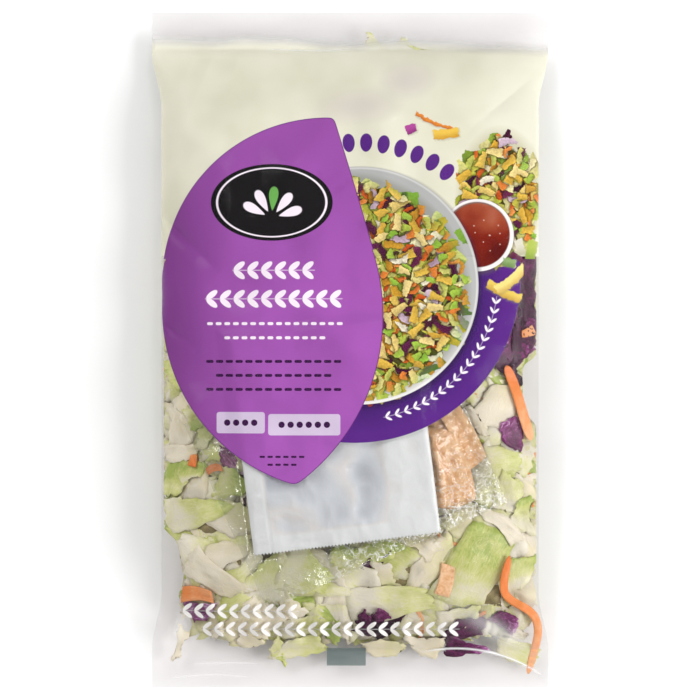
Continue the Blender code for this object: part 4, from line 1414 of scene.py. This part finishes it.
# Bits that lie outside the bowl, each darker along one side.
for centre, half_size, turn, ink, dark_ink in LOOSE_BITS:
    local = seen_from(bits, (centre[0] + RAGGED / 2, centre[1] + RAGGED / 2), turn)
    bow = add("Math", add("SeparateXYZ", local), 2.0, operation="POWER")
    bow = add("Math", bow, -0.012, add("SeparateXYZ", local, out=1), operation="MULTIPLY_ADD")
    local = add("CombineXYZ", add("SeparateXYZ", local), bow, 0.0)
    lay("#8a8468", overlap(inked(plate(seen_from(local, (0.2, -0.6)), half_size, 0.4), 0.8), 0.5), 0.0)
    bit = inked(plate(local, half_size, 0.4))
    lay(ink, bit)
    lay(dark_ink, overlap(bit, add("MapRange", bow, -half_size[1], 0.3 * half_size[1], 1.0, 0.0)), 0.0)

# The pointed panel, with its darker outline. Painted shade darkens it towards the bag's left side and its
# top, and in clouds where salad shadows it from behind.
arcs = [disc(flat, centre, radius) for centre, radius in PANEL_ARCS]
upper_left, lower_left, upper_right, lower_right = arcs
above_left = add("Math", along, PANEL_WAIST_LEFT, operation="GREATER_THAN")
above_right = add("Math", along, PANEL_WAIST_RIGHT, operation="GREATER_THAN")
left_side = add("Mix", above_left, None, lower_left, upper_left, data_type="FLOAT")
right_side = add("Mix", above_right, None, lower_right, upper_right, data_type="FLOAT")
panel = add("Math", left_side, right_side, 4.0, operation="SMOOTH_MAX")
lay(PANEL_EDGE, inked(panel))
# Painted shade: darker towards the bag's left side, in clouds where salad lies behind, and towards the top.
deeper = add("MapRange", across, -96.0, -50.0, 0.9, 0.0)
salad_shadow_clouds = add("TexNoise", Vector=flat, Scale=0.045, Detail=2.0, Roughness=0.5)
salad_shadow_clouds = add("MapRange", salad_shadow_clouds, 0.45, 0.65, 0.0, 0.45)
salad_shadow_clouds = overlap(salad_shadow_clouds, add("MapRange", along, 30.0, 80.0, 0.3, 1.0))
deeper = add("Math", deeper, salad_shadow_clouds, operation="MAXIMUM")
deeper = add("Math", deeper, add("MapRange", along, 20.0, 100.0, 0.0, 0.30), operation="MAXIMUM")
lay(add("MixRGB", deeper, PANEL, PANEL_SHADE), inked(add("Math", panel, 0.4, operation="ADD")), 0.0)

# The dark plaque, with a pale keyline and a fan of five leaves.
local = seen_from(flat, PLAQUE_CENTRE)
plaque = oval(local, PLAQUE_HALF)
lay(PLAQUE, inked(plaque), 0.0)
keyline = add("Math", add("Math", plaque, 2.0, operation="ADD"), operation="ABSOLUTE")
lay(PALE_INK, inked(add("Math", keyline, 0.35, operation="SUBTRACT")), 0.0)
run = round_about(flat, (PLAQUE_CENTRE[0], PLAQUE_CENTRE[1] - 8.0), 10.0)
stretch = between(add("SeparateXYZ", run), 0.85, 30.5, 0.01)
middle_leaf = add("Math", add("SeparateXYZ", run), 14.83, operation="SUBTRACT")
middle_leaf = add("Math", middle_leaf, operation="ABSOLUTE")
leaf_ink = add("MixRGB", add("Math", middle_leaf, 2.9, operation="LESS_THAN"), PALE_INK, LEAF_INK)
lay(leaf_ink, overlap(inked(oval(repeated(run, 5.93), (2.1, 6.0))), stretch), 0.0)

# Rows of ornament in pale and dark ink, on the panel and on the clear foot.
PANEL_SPRIGS = (  # middle, half length, pitch, half size of a leaf, ink
    ((-38.8, 40.5), 21.0, 7.0, (3.4, 1.5), PALE_INK),
    ((-38.8, 26.0), 35.0, 7.0, (3.4, 1.5), PALE_INK),
)
FOOT_SPRIGS = (
    ((-56.2, -133.2), 30.0, 6.0, (3.0, 1.1), "#f8f6f2"),
    ((-10.0, -142.6), 66.0, 6.0, (3.0, 1.1), "#f8f6f2"),
)
DASH_ROWS = (  # middle, half length, pitch, half size of a dash, ink
    ((-38.2, 13.4), 35.2, 4.4, (1.5, 0.75), PALE_INK),
    ((-38.2, 6.2), 26.4, 4.4, (1.5, 0.75), PALE_INK),
    ((-38.8, -5.8), 35.0, 5.0, (1.9, 0.75), DARK_INK),
    ((-38.8, -12.9), 30.0, 5.0, (1.9, 0.75), DARK_INK),
    ((-38.8, -20.0), 35.0, 5.0, (1.9, 0.75), DARK_INK),
    ((-34.5, -54.2), 12.0, 4.0, (1.4, 0.55), DARK_INK),
    ((-34.5, -58.2), 8.0, 4.0, (1.4, 0.55), DARK_INK),
)
PALE_PLATES = (((-55.5, -36.9), 12.3, 9.2), ((-23.2, -37.9), 18.3, 13.8))  # middle, half length, of dots
for sprigs, cover in ((PANEL_SPRIGS, 0.0), (FOOT_SPRIGS, 1.0)):
    for centre, half_span, pitch, leaf, row_ink in sprigs:
        local = seen_from(flat, centre)
        row = overlap(inked(sprig(local, pitch, leaf)), inked(plate(local, (half_span, 7.0), 0.2)))
        lay(row_ink, row, cover)
for centre, half_span, pitch, size, ink in DASH_ROWS:
    local = seen_from(flat, centre)
    lay(ink, overlap(inked(dashes(local, pitch, size)), inked(plate(local, (half_span, 4.0), 0.2))), 0.0)
for centre, half_span, half_dots in PALE_PLATES:
    local = seen_from(flat, centre)
    lay(PLATE_INK, inked(plate(local, (half_span, 5.4), 1.4)), 0.0)
    dots = overlap(inked(dashes(local, 4.6, (1.6, 1.6))), inked(plate(local, (half_dots, 4.0), 0.1)))
    lay(DARK_INK, dots, 0.0)

# The packing line's eye mark, on the clear foot.
lay(EYE_MARK_COLOUR, inked(plate(seen_from(flat, EYE_MARK), EYE_MARK_HALF, 0.3)), 0.85)

ink = add("BsdfDiffuse", printed["colour"])
finish_with(add, add("MixShader", printed["cover"], add("BsdfTransparent", "#ffffff"), ink))


def is_printed(x, y):
    """Which places the sheet of ink is needed at: the ground, the ring, the panel and the eye mark."""
    margin = 1.5
    on_ring = np.hypot(x - RING_CENTRE[0], y - RING_CENTRE[1]) < RING_RADIUS + margin
    on_panel = np.ones_like(on_ring)
    for (centre_x, centre_y), radius in (PANEL_ARCS[1], PANEL_ARCS[3]):
        on_panel &= np.hypot(x - centre_x, y - centre_y) < radius + margin
    on_ground = (y > CREAM_FOOT - margin) & (y < CREAM_TOP + margin)
    for (centre_x, centre_y), half_span, *_ in FOOT_SPRIGS:
        on_ground |= (np.abs(x - centre_x) < half_span + margin) & (np.abs(y - centre_y) < 7.0)
    mark_x, mark_y = np.abs(x - EYE_MARK[0]) - EYE_MARK_HALF[0], np.abs(y - EYE_MARK[1]) - EYE_MARK_HALF[1]
    return on_ring | on_panel | on_ground | (np.maximum(mark_x, mark_y) < margin)


points = np.stack([film_x, film_y, film_z - INK_GAP], axis=-1).reshape(-1, 3)
quads = grid_faces(FRONT_ROWS + 1, FRONT_COLUMNS + 1)
middle = points[quads].mean(axis=1) * 1000.0
quads = quads[is_printed(middle[:, 0], middle[:, 1])]
used, place_of = np.unique(quads, return_inverse=True)
new_piece("print", points[used], place_of.reshape(-1, 4), inks, "film")
